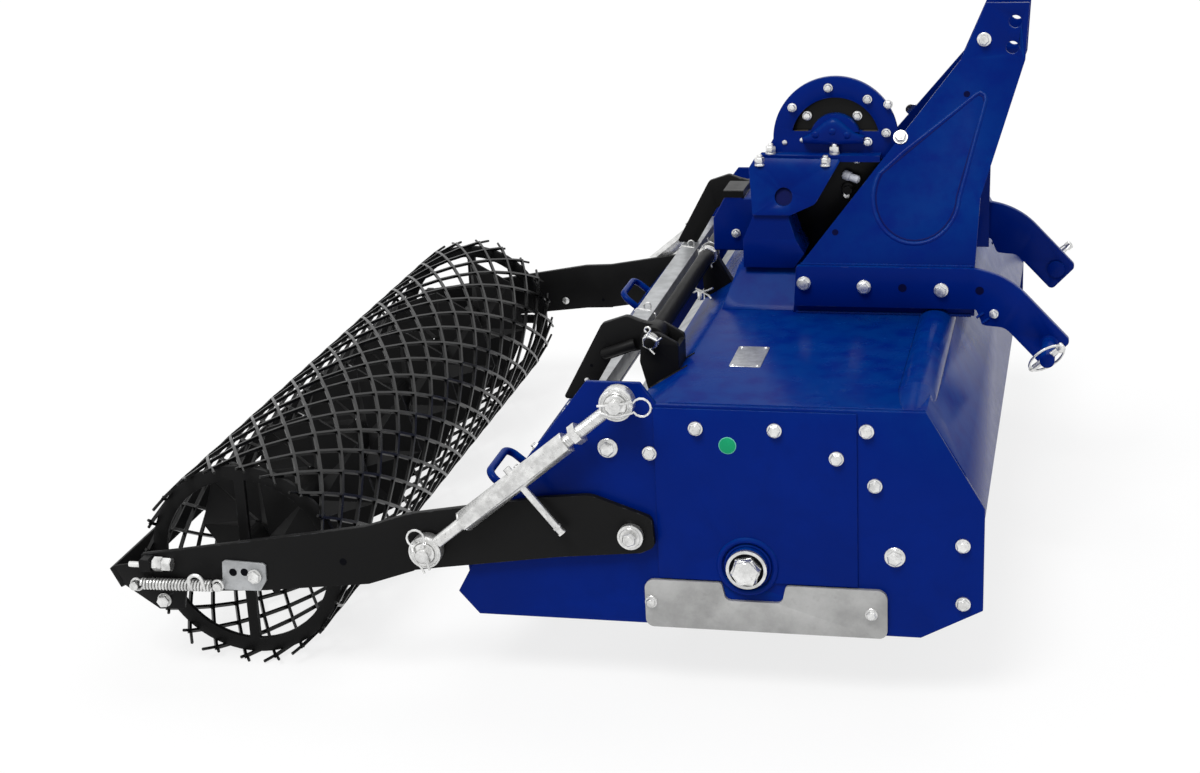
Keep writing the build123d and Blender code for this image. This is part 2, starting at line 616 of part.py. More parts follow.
def board_arm():
    """Gooseneck plate with a boss on the hinge pin, standing on the board's top angle."""
    foot_z = BOARD_TOP_Z + RAIL_T
    outline = [(-308, foot_z), (-244, 489), (-206, 502), (-184, 494),
               (HINGE_X, HINGE_Z + HINGE_BOSS_R), (HINGE_X, HINGE_Z - HINGE_BOSS_R), (-229, 440),
               (-270, foot_z)]
    arm = slab(outline, -HINGE_Y - ARM_PLATE_T / 2, -HINGE_Y + ARM_PLATE_T / 2,
               [4, 10, 12, 8, 0, 0, 14, 4])
    boss = CHEEK_IN - CHEEK_GAP
    arm += bar_y(HINGE_X, HINGE_Z, HINGE_BOSS_R, -HINGE_Y - boss, -HINGE_Y + boss)
    return arm - bar_y(HINGE_X, HINGE_Z, HINGE_R + FIT, -HINGE_Y - boss - 1, -HINGE_Y + boss + 1)


def on_board(down, out):
    """Point in (x, z) at a distance down the board's outer face and off it, outwards."""
    return off_line((BOARD_TOP_X, BOARD_TOP_Z), (BOARD_FOLD_X, BOARD_FOLD_Z), down, -out)


def board():
    """Levelling board behind the rotor: sloping face, upright lower part and lip."""
    t = BOARD_T
    fold = (BOARD_FOLD_X, BOARD_FOLD_Z)
    low = (BOARD_LOW_X, BOARD_LOW_Z)
    long = math.hypot(BOARD_TOP_X - BOARD_FOLD_X, BOARD_TOP_Z - BOARD_FOLD_Z)
    face = slab([on_board(0, 0), fold, on_board(long, -t), on_board(0, -t)], -BOARD_HALF, BOARD_HALF)
    drop = math.hypot(BOARD_FOLD_X - BOARD_LOW_X, BOARD_FOLD_Z - BOARD_LOW_Z)
    face += slab([fold, low, off_line(fold, low, drop, t), off_line(fold, low, 0, t)],
                 -BOARD_HALF, BOARD_HALF)
    return face + block(BOARD_LOW_X, BOARD_LOW_X + BOARD_LIP, -BOARD_HALF, BOARD_HALF,
                        BOARD_LOW_Z, BOARD_LOW_Z + t)


def board_rail():
    """Angle along the top edge of the board."""
    t = RAIL_T
    back = BOARD_TOP_X - RAIL_BACK
    front = back + RAIL_W
    low = BOARD_TOP_Z
    outline = [(back, low), (back, low + t), (front, low + t), (front, low + t - RAIL_H),
               (front - t, low + t - RAIL_H), (front - t, low)]
    return slab(outline, -BOARD_HALF, BOARD_HALF)


def board_handle():
    """Round-bar grip on the outer face of the board."""
    foot = on_board(HANDLE_DOWN, 0)
    out = on_board(HANDLE_DOWN, HANDLE_OUT)
    low = -HANDLE_Y - HANDLE_W / 2
    high = -HANDLE_Y + HANDLE_W / 2
    path = FilletPolyline((foot[0], low, foot[1]), (out[0], low, out[1]), (out[0], high, out[1]),
                          (foot[0], high, foot[1]), radius=18)
    normal = Vector(out[0] - foot[0], 0, out[1] - foot[1])
    start = Plane((foot[0], low, foot[1]), z_dir=normal)
    return sweep(start * Circle(HANDLE_R), path=path)


# --- Roller arms ------------------------------------------------------------------------------
def arm():
    """Roller arm in flat bar, set outwards behind the turnbuckle's lower eye."""
    near = -HALF - ARM_SIDE_GAP - ARM_T
    rear = near - ARM_JOG
    front = slab([(-133, 272), (-221, 303), (-290, 296), (-490, 262), (-490, 174), (-444, 181),
                  (-270, 206), (-150, 218), (-130, 228)], near, near + ARM_T,
                 [12, 40, 60, 0, 0, 60, 60, 10, 10])
    back = slab([(-550, 251), (-700, 225), (-838, 201), (-905, 190), (-905, 130), (-711, 143),
                 (-550, 162)], rear, rear + ARM_T)
    jog_face = make_face(Polyline((-490, near, 262), (-490, near + ARM_T, 262),
                                  (-550, rear + ARM_T, 251), (-550, rear, 251), close=True))
    jog = extrude(jog_face, amount=89, dir=(0, 0, -1))
    plate = front + back + jog
    plate -= bar_y(ARM_X, ARM_Z, ARM_PIVOT_R + FIT, near - 1, near + ARM_T + 1)
    plate -= bar_y(ROLLER_X, ROLLER_Z, AXLE_R + FIT, rear - 1, rear + ARM_T + 1)
    return plate


def arm_pivot():
    near = -HALF - ARM_SIDE_GAP - ARM_T
    pin = bar_y(ARM_X, ARM_Z, ARM_PIVOT_R, near - 4, -HALF)
    return pin + bar_y(ARM_X, ARM_Z, ARM_CAP_R, near - 10, near - 0.5)


def scraper():
    bar = Box(SCRAPER_T, 2 * (HALF + ARM_SIDE_GAP + ARM_JOG), SCRAPER_W)
    return Pos(SCRAPER_X, 0, SCRAPER_Z) * Rot(0, -SCRAPER_LEAN, 0) * bar


def scraper_bracket():
    """Plate inside the end of each arm, against the front face of the scraper bar."""
    inside = -HALF - ARM_SIDE_GAP - ARM_JOG
    lean = math.radians(SCRAPER_LEAN)
    seat = []
    for up in (SCRAPER_W / 2, -SCRAPER_W / 2):
        seat.append((SCRAPER_X - up * math.sin(lean) + SCRAPER_T / 2 * math.cos(lean),
                     SCRAPER_Z + up * math.cos(lean) + SCRAPER_T / 2 * math.sin(lean)))
    outline = seat + [(-890, 98), (-850, 100), (-840, 150), (-900, 175)]
    return slab(outline, inside, inside + BRACKET_T)


# --- Roller -----------------------------------------------------------------------------------
def roller_frame():
    """Axle tube, end rings and their spokes."""
    outside = HALF + ARM_SIDE_GAP + ARM_JOG + ARM_T
    frame = bar_y(ROLLER_X, ROLLER_Z, AXLE_TUBE_R, -RING_Y, RING_Y)
    frame += bar_y(ROLLER_X, ROLLER_Z, AXLE_R, -outside, outside)
    ring_r = ROLLER_R * math.cos(math.pi / MESH_SIDES) - MESH_T
    for y in (-RING_Y, RING_Y):
        low = y - RING_T / 2
        ring = bar_y(ROLLER_X, ROLLER_Z, ring_r, low, low + RING_T)
        ring -= bar_y(ROLLER_X, ROLLER_Z, ring_r - RING_H, low - 1, low + RING_T + 1)
        inner = ring_r - RING_H / 2
        ring += block(ROLLER_X - SPOKE_W / 2, ROLLER_X + SPOKE_W / 2, low, low + RING_T,
                      ROLLER_Z - inner, ROLLER_Z + inner)
        ring += block(ROLLER_X - inner, ROLLER_X + inner, low, low + RING_T,
                      ROLLER_Z - SPOKE_W / 2, ROLLER_Z + SPOKE_W / 2)
        frame += ring
    return frame


def roller_mesh():
    """Diamond wire mesh rolled to a cylinder: one zigzag wire band on each facet."""
    facet = 2 * math.pi / MESH_SIDES
    row = 2 * MESH_HALF / MESH_ROWS
    half_w = ROLLER_R * math.sin(facet / 2)
    mid_r = ROLLER_R * math.cos(facet / 2)
    wide = WIRE_W * math.hypot(row, 2 * half_w) / (2 * half_w) / 2
    bend = wide * 2 * half_w / row
    left_edge = []
    right_edge = []
    for i in range(MESH_ROWS + 1):
        y = -MESH_HALF + i * row
        at_end = i in (0, MESH_ROWS)
        if i % 2:
            right_edge += [(half_w, y - wide), (half_w, y + wide)]
            left_edge += [] if at_end else [(half_w - bend, y)]
        else:
            left_edge += [(-half_w, y - wide), (-half_w, y + wide)]
            right_edge += [] if at_end else [(-half_w + bend, y)]
    band_face = make_face(Polyline(*(left_edge + right_edge[::-1]), close=True))
    band = Pos(0, 0, mid_r - MESH_T) * extrude(band_face, MESH_T)
    wedge_top = ROLLER_R + 1
    wedge = extrude(Plane.XZ * Polygon((0, 0), (wedge_top * math.tan(facet / 2), wedge_top),
                                       (-wedge_top * math.tan(facet / 2), wedge_top), align=None),
                    amount=MESH_HALF + 2 * row, both=True)
    band = band & wedge
    flipped = mirror(band, about=Plane.YZ)
    bands = [Rot(0, math.degrees(facet) * i, 0) * (band if i % 2 else flipped)
             for i in range(MESH_SIDES)]
    mesh = bands[0].fuse(*bands[1:])
    return Pos(ROLLER_X, 0, ROLLER_Z) * mesh


def auger():
    """Screw flight on the roller's axle, folded from flat facets."""
    length = 2 * (RING_Y - RING_T)
    count = round(length / AUGER_PITCH * AUGER_STEPS)
    inner_r = (AXLE_TUBE_R + GAP) / math.cos(math.pi / AUGER_STEPS)
    faces = []
    rungs = []
    for i in range(count + 1):
        angle = 2 * math.pi * i / AUGER_STEPS
        y = -length / 2 + (length - AUGER_T) * i / count
        rung = []
        for radius, add in [(inner_r, 0), (AUGER_R, 0), (AUGER_R, AUGER_T), (inner_r, AUGER_T)]:
            rung.append(Vector(ROLLER_X + radius * math.cos(angle), y + add,
                               ROLLER_Z + radius * math.sin(angle)))
        rungs.append(rung)

    def skin(*corners):
        faces.append(Face(Wire.make_polygon(corners, close=True)))

    skin(*rungs[0])
    skin(*rungs[-1][::-1])
    for here, there in zip(rungs, rungs[1:]):
        for k in range(4):
            a, b = here[k], here[(k + 1) % 4]
            c, d = there[(k + 1) % 4], there[k]
            if k % 2:
                skin(a, b, c, d)
            else:
                skin(a, b, c)
                skin(a, c, d)
    return Solid(Shell(faces))


# --- Turnbuckles ------------------------------------------------------------------------------
def along_buckle(shape):
    """Place a shape modelled up +Z from the upper eye so that it points at the lower one."""
    dx = EYE_LOW_X - EYE_HIGH_X
    dz = EYE_LOW_Z - EYE_HIGH_Z
    tilt = math.degrees(math.atan2(dx, dz))
    return Pos(EYE_HIGH_X, -BUCKLE_Y, EYE_HIGH_Z) * Rot(0, tilt, 0) * shape


def buckle_length():
    return math.hypot(EYE_LOW_X - EYE_HIGH_X, EYE_LOW_Z - EYE_HIGH_Z)


def eye(x, z, play):
    ring = bar_y(x, z, EYE_R, -BUCKLE_Y - EYE_T / 2, -BUCKLE_Y + EYE_T / 2)
    return ring - bar_y(x, z, BUCKLE_PIN_R + play, -BUCKLE_Y - EYE_T, -BUCKLE_Y + EYE_T)


def round_bar(radius, low, high):
    """Upright round bar between two heights."""
    return Pos(0, 0, (low + high) / 2) * Cylinder(radius, high - low)


def hexagon(low, high):
    return Pos(0, 0, low) * extrude(RegularPolygon(HEX_AF / 2, 6, major_radius=False), high - low)


def buckle_body():
    """Upper eye with its stem, lock nut, hexagon body with a threaded hole, and tommy bar."""
    stem = round_bar(ROD_R, EYE_R - 4, HEX_FROM + 4)
    nut = hexagon(LOCK_FROM, LOCK_FROM + LOCK_NUT_T)
    sleeve = hexagon(HEX_FROM, HEX_TO) - round_bar(ROD_R + GAP, SOCKET_FROM, HEX_TO + 1)
    turn = Pos(0, 0, TOMMY_AT) * Rot(0, -90, 0)
    tommy = turn * round_bar(TOMMY_R, ROD_R + 2, TOMMY_REACH)
    stub = turn * round_bar(TOMMY_R, -TOMMY_STUB, -ROD_R - 2)
    return eye(EYE_HIGH_X, EYE_HIGH_Z, FIT) + along_buckle(stem + nut + sleeve + tommy + stub)


def buckle_rod():
    rod = round_bar(ROD_R, ROD_FROM, buckle_length() - EYE_R + 4)
    return eye(EYE_LOW_X, EYE_LOW_Z, EYE_PLAY) + along_buckle(rod)


def buckle_pin_high():
    return bar_y(EYE_HIGH_X, EYE_HIGH_Z, BUCKLE_PIN_R, -BUCKLE_Y - EYE_T / 2 - 14, -HALF)


def buckle_pin_low():
    near = -HALF - ARM_SIDE_GAP - ARM_T
    return bar_y(EYE_LOW_X, EYE_LOW_Z, BUCKLE_PIN_R, -BUCKLE_Y - EYE_T / 2 - 14, near)


# --- Files ------------------------------------------------------------------------------------
write("deck", deck())
write("hood_strip", hood_strip())
write("apron", apron())
write("cross_tube", cross_tube())
write("side_plate_right", side_plate())
write("side_plate_left", other_side(side_plate()))
write("side_panel_right", side_panel())
write("skid_right", skid())
write("skid_left", other_side(skid()) - side_case(2))
write("hub_right", hub(HUB_BOSS))
write("hub_left", other_side(hub(0)))
write("side_case", side_case())
write("rotor_shaft", rotor_shaft())
write("rotor_nut", rotor_nut())
write("rotor_tines", *rotor_tines())
write("link_plate_right", link_plate())
write("link_plate_left", other_side(link_plate()))
write("hitch_pin_right", hitch_pin())
write("hitch_pin_left", other_side(hitch_pin()))
write("mast_plate_right", mast_plate())
write("mast_plate_left", other_side(mast_plate()))
write("mast_spacer", mast_spacer())
write("pedestal", pedestal())
write("gearbox", gearbox())
write("gearbox_rear", gearbox_rear())
write("gearbox_flange", gearbox_flange())
write("gearbox_shield", gearbox_shield())
write("gearbox_guard", gearbox_guard())
write("pto_shaft", pto_shaft())
write("pto_guard", pto_guard())
write("drive_tube", drive_tube())
write("deck_bracket_right", deck_bracket())
write("deck_bracket_left", other_side(deck_bracket()))
write("hinge_tube", hinge_tube())
write("board_arm_right", board_arm())
write("board_arm_left", other_side(board_arm()))
write("levelling_board", board())
write("board_rail", board_rail())
write("board_handles", board_handle(), other_side(board_handle()))
write("roller_arm_right", arm())
write("roller_arm_left", other_side(arm()))
write("arm_pivots", arm_pivot(), other_side(arm_pivot()))
write("scraper_bar", scraper())
write("scraper_brackets", scraper_bracket(), other_side(scraper_bracket()))
write("roller_frame", roller_frame())
write("roller_mesh", roller_mesh())
write("roller_auger", auger())
write("turnbuckle_right", buckle_body())
write("turnbuckle_left", other_side(buckle_body()))
write("turnbuckle_rod_right", buckle_rod())
write("turnbuckle_rod_left", other_side(buckle_rod()))
write("buckle_pins_high", buckle_pin_high(), other_side(buckle_pin_high()))
write("buckle_pins_low", buckle_pin_low(), other_side(buckle_pin_low()))
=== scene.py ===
import bpy
import bmesh
import json
import math
from mathutils import Matrix, Vector


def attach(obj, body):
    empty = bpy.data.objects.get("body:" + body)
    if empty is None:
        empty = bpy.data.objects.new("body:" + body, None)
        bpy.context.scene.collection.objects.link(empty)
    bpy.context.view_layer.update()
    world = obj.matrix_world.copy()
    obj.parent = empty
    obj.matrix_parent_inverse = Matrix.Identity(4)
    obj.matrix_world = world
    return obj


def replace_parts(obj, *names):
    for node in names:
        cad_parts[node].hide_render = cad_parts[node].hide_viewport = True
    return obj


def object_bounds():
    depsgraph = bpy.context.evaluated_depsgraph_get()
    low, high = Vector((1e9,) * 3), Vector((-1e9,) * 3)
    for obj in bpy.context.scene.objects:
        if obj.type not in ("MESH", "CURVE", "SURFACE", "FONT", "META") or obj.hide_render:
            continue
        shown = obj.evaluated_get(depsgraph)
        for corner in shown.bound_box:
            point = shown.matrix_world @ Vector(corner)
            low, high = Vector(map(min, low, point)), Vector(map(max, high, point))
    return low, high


# Looks for the stone-burying rotary tiller: +X forward, +Y left, +Z up.
# Places and sizes are in millimetres, from the rotor's axis (x = 0) and the ground (z = 0).
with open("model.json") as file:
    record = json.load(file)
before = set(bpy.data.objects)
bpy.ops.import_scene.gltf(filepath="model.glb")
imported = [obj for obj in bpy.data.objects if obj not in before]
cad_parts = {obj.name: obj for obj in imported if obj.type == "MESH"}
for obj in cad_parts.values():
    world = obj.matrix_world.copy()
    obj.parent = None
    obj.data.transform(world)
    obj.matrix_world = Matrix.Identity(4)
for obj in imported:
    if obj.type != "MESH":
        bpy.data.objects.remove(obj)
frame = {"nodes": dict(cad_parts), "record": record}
CAD_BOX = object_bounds()
MM = 0.001
ORIGIN_X = 265.0          # the rotor's axis in the shared frame
HALF = 655.0              # outer face of the side plates
PANEL_T = 3.0             # raised panel and skid on the outer face of a side plate
SKID_T = 6.0
CASE_FACE = 721.0         # outer face of the drive case on the left
ROTOR_Z = 200.0           # height of the rotor's axis
SHAFT_Z = 600.0           # height of the drive shaft's axis
DECK_TOP = 438.0          # height of the beads and rivets on the deck
MAST_FACE = 217.0         # outer and inner face of the mast's bolted foot
MAST_BACK = 198.0
FLANGE_FACE = -95.0       # right faces of the gearbox flange and of the casting behind it
CASTING_FACE = -85.0
HINGE = (-165, 473)       # x and z of the levelling board's hinge
ARM_PIVOT = (-163, 680, 245)      # face of a roller arm's pivot cap, y counted outwards
ARM_FACE = 700.0          # outer face of the roller arms behind their set
BUCKLE_Y = 687.0          # middle of a turnbuckle, and x and z of its two pins
BUCKLE_HIGH = (-171, 449)
BUCKLE_LOW = (-463, 214)
ROLLER_X = -770.0         # axis, radius, sides and half length of the mesh roller
ROLLER_R = 157.0
MESH_SIDES = 40
ROLLER_Z = ROLLER_R * math.cos(math.pi / MESH_SIDES)
MESH_HALF = 640.0
FORWARD = Vector((1, 0, 0))
ACROSS = Vector((0, 1, 0))
UP = Vector((0, 0, 1))
OUT_LEFT = ACROSS
OUT_RIGHT = -ACROSS
HAND = {-1: "right", 1: "left"}


def at(x, y, z):
    """A place in metres from millimetres ahead of the rotor, to the left and up from the ground."""
    return Vector(((x + ORIGIN_X) * MM, y * MM, z * MM))


def spot(side, x, y, z):
    """A place on the right (side -1) or left (side 1) half of the machine, y counted outwards."""
    return at(x, side * y, z)


# --- Materials --------------------------------------------------------------------------------
class Nodes:
    """Small helper to build a node tree from left to right."""
    MIX_FACTOR, MIX_FIRST, MIX_SECOND, MIX_RESULT = 0, 6, 7, 2      # sockets of a colour's Mix node

    def __init__(self, name):
        self.material = bpy.data.materials.new(name)
        self.material.use_nodes = True
        self.tree = self.material.node_tree
        self.shader = self.tree.nodes["Principled BSDF"]

    def add(self, kind, **values):
        node = self.tree.nodes.new(kind)
        for key, value in values.items():
            setattr(node, key, value)
        return node

    def link(self, source, target):
        self.tree.links.new(source, target)

    def feed(self, node, values):
        """Links or sets each input socket, as its value is another socket or a plain number."""
        for socket, value in values.items():
            if isinstance(value, bpy.types.NodeSocket):
                self.link(value, node.inputs[socket])
            else:
                node.inputs[socket].default_value = value

    def noise(self, scale, detail=4.0, rough=0.6, stretch=None):
        place = self.add("ShaderNodeTexCoord")
        node = self.add("ShaderNodeTexNoise")
        node.inputs["Scale"].default_value = scale
        node.inputs["Detail"].default_value = detail
        node.inputs["Roughness"].default_value = rough
        source = place.outputs["Object"]
        if stretch:
            mapping = self.add("ShaderNodeMapping")
            mapping.inputs["Scale"].default_value = stretch
            self.link(source, mapping.inputs["Vector"])
            source = mapping.outputs["Vector"]
        self.link(source, node.inputs["Vector"])
        return node.outputs["Fac"]

    def ramp(self, source, low, high):
        """Smooth step from 0 at low to 1 at high."""
        node = self.add("ShaderNodeMapRange", interpolation_type="SMOOTHSTEP")
        node.inputs["From Min"].default_value = low
        node.inputs["From Max"].default_value = high
        self.link(source, node.inputs["Value"])
        return node.outputs["Result"]

    def between(self, source, low, high):
        """Straight blend from low at 0 to high at 1."""
        node = self.add("ShaderNodeMapRange")
        node.inputs["To Min"].default_value = low
        node.inputs["To Max"].default_value = high
        self.link(source, node.inputs["Value"])
        return node.outputs["Result"]

    def mix(self, factor, first, second):
        node = self.add("ShaderNodeMix", data_type="RGBA")
        self.feed(node, {self.MIX_FACTOR: factor, self.MIX_FIRST: first, self.MIX_SECOND: second})
        return node.outputs[self.MIX_RESULT]

    def math(self, operation, first, second):
        node = self.add("ShaderNodeMath", operation=operation)
        self.feed(node, {0: first, 1: second})
        return node.outputs["Value"]

    def bump(self, height, strength, distance):
        node = self.add("ShaderNodeBump")
        node.inputs["Strength"].default_value = strength
        node.inputs["Distance"].default_value = distance
        self.link(height, node.inputs["Height"])
        self.link(node.outputs["Normal"], self.shader.inputs["Normal"])

    def edges(self, radius, low, high):
        """1 near a rounded-off edge, 0 on flat metal: how far a rounded normal leaves the true one."""
        bevel = self.add("ShaderNodeBevel", samples=6)
        bevel.inputs["Radius"].default_value = radius
        geometry = self.add("ShaderNodeNewGeometry")
        dot = self.add("ShaderNodeVectorMath", operation="DOT_PRODUCT")
        self.link(bevel.outputs["Normal"], dot.inputs[0])
        self.link(geometry.outputs["Normal"], dot.inputs[1])
        return self.ramp(self.math("SUBTRACT", 1.0, dot.outputs["Value"]), low, high)

    def facing_up(self, low, high):
        """0 to 1 as the surface turns upward, by its own direction in the world."""
        geometry = self.add("ShaderNodeNewGeometry")
        split = self.add("ShaderNodeSeparateXYZ")
        self.link(geometry.outputs["Normal"], split.inputs["Vector"])
        return self.ramp(split.outputs["Z"], low, high)


def scaled(colour, factor):
    return (*[c * factor for c in colour], 1)


def paint(name, colour, rough, specular, worn, dusty, upper=None):
    """Powder-coated steel: orange peel, tone drift, thin dust on top faces, rubbed edges, scuffs.

    Faces that look up take the tone upper where it is given: painted light, a paler tone that stands for the
    light falling on top faces.
    """
    n = Nodes(name)
    tone = n.mix(n.ramp(n.noise(2.6, 3.0), 0.3, 0.7), scaled(colour, 0.88), scaled(colour, 1.10))
    # Painted light: faces that look up are mixed toward the paler tone upper, as if lit from above.
    if upper:
        tone = n.mix(n.facing_up(0.10, 0.60), tone, (*upper, 1))
    tone = n.mix(n.ramp(n.noise(26.0, 5.0), 0.35, 0.75), tone, scaled(colour, 0.94))
    film = n.math("MULTIPLY", n.facing_up(0.55, 0.98), n.ramp(n.noise(9.0, 7.0, 0.7), 0.42, 0.80))
    tone = n.mix(n.math("MULTIPLY", film, dusty), tone, (0.20, 0.19, 0.17, 1))
    rubbed = n.math("MULTIPLY", n.edges(0.0016, 0.012, 0.10), n.ramp(n.noise(70.0, 6.0), 0.50, 0.66))
    tone = n.mix(n.math("MULTIPLY", rubbed, worn), tone, (0.22, 0.23, 0.25, 1))
    scuff = n.ramp(n.noise(14.0, 8.0, 0.75, (1.0, 1.0, 7.0)), 0.70, 0.76)
    tone = n.mix(n.math("MULTIPLY", scuff, 0.10 * worn), tone, (0.12, 0.13, 0.16, 1))
    n.link(tone, n.shader.inputs["Base Color"])
    gloss = n.between(n.noise(38.0, 5.0), rough - 0.06, rough + 0.09)
    n.link(n.math("ADD", gloss, n.math("MULTIPLY", film, 0.12)), n.shader.inputs["Roughness"])
    n.shader.inputs["Specular IOR Level"].default_value = specular
    n.bump(n.noise(430.0, 2.0), 0.10, 0.0004)
    return n.material


def metal(name, colour, rough, mottle, metallic=0.85, grime=0.25):
    """Plated, machined or forged steel: mottled tone, fine scratches, dark specks of grime at random."""
    n = Nodes(name)
    patch = n.ramp(n.noise(mottle, 6.0, 0.65), 0.3, 0.7)
    tone = n.mix(patch, scaled(colour, 0.70), scaled(colour, 1.08))
    speck = n.ramp(n.noise(mottle * 6.0, 4.0), 0.60, 0.72)
    tone = n.mix(n.math("MULTIPLY", speck, grime), tone, (0.07, 0.065, 0.06, 1))
    n.link(tone, n.shader.inputs["Base Color"])
    n.shader.inputs["Metallic"].default_value = metallic
    n.link(n.between(n.noise(mottle * 1.7, 4.0), rough - 0.10, rough + 0.14),
           n.shader.inputs["Roughness"])
    n.bump(n.noise(260.0, 3.0, 0.6, (1.0, 0.25, 1.0)), 0.12, 0.0003)
    return n.material


def flat_coat(name, colour, rough, grain):
    """Moulded plastic, the round sign, settled dust or the shade in a hole: even, with a fine grain."""
    n = Nodes(name)
    tone = n.mix(n.ramp(n.noise(20.0, 5.0), 0.3, 0.7), scaled(colour, 0.85), scaled(colour, 1.05))
    n.link(tone, n.shader.inputs["Base Color"])
    n.link(n.between(n.noise(60.0, 3.0), rough - 0.06, rough + 0.08), n.shader.inputs["Roughness"])
    n.shader.inputs["Specular IOR Level"].default_value = 0.08
    n.bump(n.noise(grain, 2.0), 0.15, 0.0003)
    return n.material


BLUE_TONE = (0.0000, 0.0125, 0.1620)
# Paler blue for faces that look up: painted light falling on top faces.
BLUE_PAINTED_TOP_LIGHT = (0.0000, 0.0270, 0.1850)
BLUE = paint("blue_paint", BLUE_TONE, 0.22, 0.045, 0.22, 0.005, BLUE_PAINTED_TOP_LIGHT)
BLUE_SMOOTH = paint("blue_seams", BLUE_TONE, 0.24, 0.06, 0.0, 0.0, BLUE_PAINTED_TOP_LIGHT)
BLACK = paint("black_paint", (0.0060, 0.0060, 0.0062), 0.42, 0.10, 0.35, 0.03)
CASTING = paint("casting_black", (0.0045, 0.0045, 0.0046), 0.30, 0.12, 0.30, 0.05)
PLASTIC = flat_coat("guard_plastic", (0.0060, 0.0060, 0.0060), 0.55, 500.0)
ZINC = metal("zinc", (0.78, 0.78, 0.77), 0.26, 55.0, 0.85, 0.45)
BRIGHT = metal("bright_steel", (0.84, 0.84, 0.83), 0.18, 35.0, 0.90, 0.25)
SKID = metal("skid_steel", (0.40, 0.40, 0.395), 0.42, 12.0, 0.45, 0.10)
MESH_BLACK = paint("mesh_black", (0.0040, 0.0040, 0.0040), 0.28, 0.22, 0.20, 0.0)
TINE = metal("tine_steel", (0.055, 0.055, 0.058), 0.50, 40.0, 0.8, 0.4)
GALVANISED = metal("galvanised_strip", (0.42, 0.43, 0.44), 0.38, 30.0, 0.6, 0.15)
HOLE = flat_coat("hole_shadow", (0.0008, 0.0010, 0.0025), 0.80, 300.0)
BLUE_HOLE = flat_coat("blue_hole_shadow", (0.0001, 0.0010, 0.0300), 0.80, 300.0)
BLUE_SHADE = flat_coat("blue_in_shade", (0.0000, 0.0030, 0.0600), 0.50, 300.0)
GREEN = flat_coat("green_disc", (0.0100, 0.3300, 0.1450), 0.45, 300.0)
GREEN_RIM = flat_coat("green_disc_rim", (0.1600, 0.5600, 0.4300), 0.45, 300.0)
GROOVE = flat_coat("groove_shadow", (0.0004, 0.0050, 0.0900), 0.60, 300.0)
WHITE = flat_coat("white_plastic", (0.6200, 0.6400, 0.7000), 0.40, 300.0)
DUST = flat_coat("settled_dust", (0.0600, 0.0520, 0.0420), 0.90, 200.0)
PLATE = metal("rating_plate", (0.52, 0.53, 0.54), 0.32, 90.0, 0.75, 0.10)
BRASS = metal("brass_plug", (0.50, 0.40, 0.20), 0.35, 50.0)

SLOT_MATERIAL = {
    "blue_paint": BLUE, "black_paint": BLACK, "zinc_plate": ZINC, "gearbox_paint": CASTING,
    "wear_steel": TINE, "guard_plastic": PLASTIC, "bright_steel": BRIGHT,
}
NODE_MATERIAL = {"board_rail": GALVANISED, "hood_strip": GALVANISED,
                 "skid_right": SKID, "skid_left": SKID,
                 "roller_mesh": MESH_BLACK}
slots = {part["node"]: part["material_slot"] for part in frame["record"]["subparts"]}

# Width of the softened edges in millimetres. Cut and folded plate takes the plain width.
PLAIN_EDGE = 0.8
SOFT_EDGE = {
    "gearbox": 4.0, "gearbox_rear": 3.0, "gearbox_guard": 2.5, "gearbox_flange": 1.6,
    "gearbox_shield": 1.2, "side_case": 5.0, "pedestal": 3.0, "rotor_tines": 1.5,
    "rotor_nut": 1.5, "scraper_bar": 1.0, "scraper_brackets": 1.0,
}
LEFT_SHARP = ("roller_mesh", "roller_auger", "pto_shaft", "pto_guard", "cross_tube")


def soften(piece, width):
    """Rounds off the edges of a carried-over solid, which is imported as separate faces."""
    weld = piece.modifiers.new("weld", "WELD")
    weld.merge_threshold = 0.00002
    bevel = piece.modifiers.new("bevel", "BEVEL")
    bevel.width = width * MM
    bevel.segments = 2
    bevel.limit_method = "ANGLE"
    bevel.angle_limit = math.radians(38)
    bevel.use_clamp_overlap = True
    bevel.harden_normals = True
    piece.data.shade_smooth()


for node, piece in frame["nodes"].items():
    piece.data.materials.clear()
    piece.data.materials.append(NODE_MATERIAL.get(node, SLOT_MATERIAL[slots[node]]))
    if node not in LEFT_SHARP:
        soften(piece, SOFT_EDGE.get(node, PLAIN_EDGE))


# --- Shapes -----------------------------------------------------------------------------------
def basis(axis):
    """Two directions square to an axis; the first lies level where it can."""
    axis = axis.normalized()
    side = UP.cross(axis)
    if side.length < 0.01:
        side = Vector((0, 1, 0))
    side.normalize()
    return side, axis.cross(side)


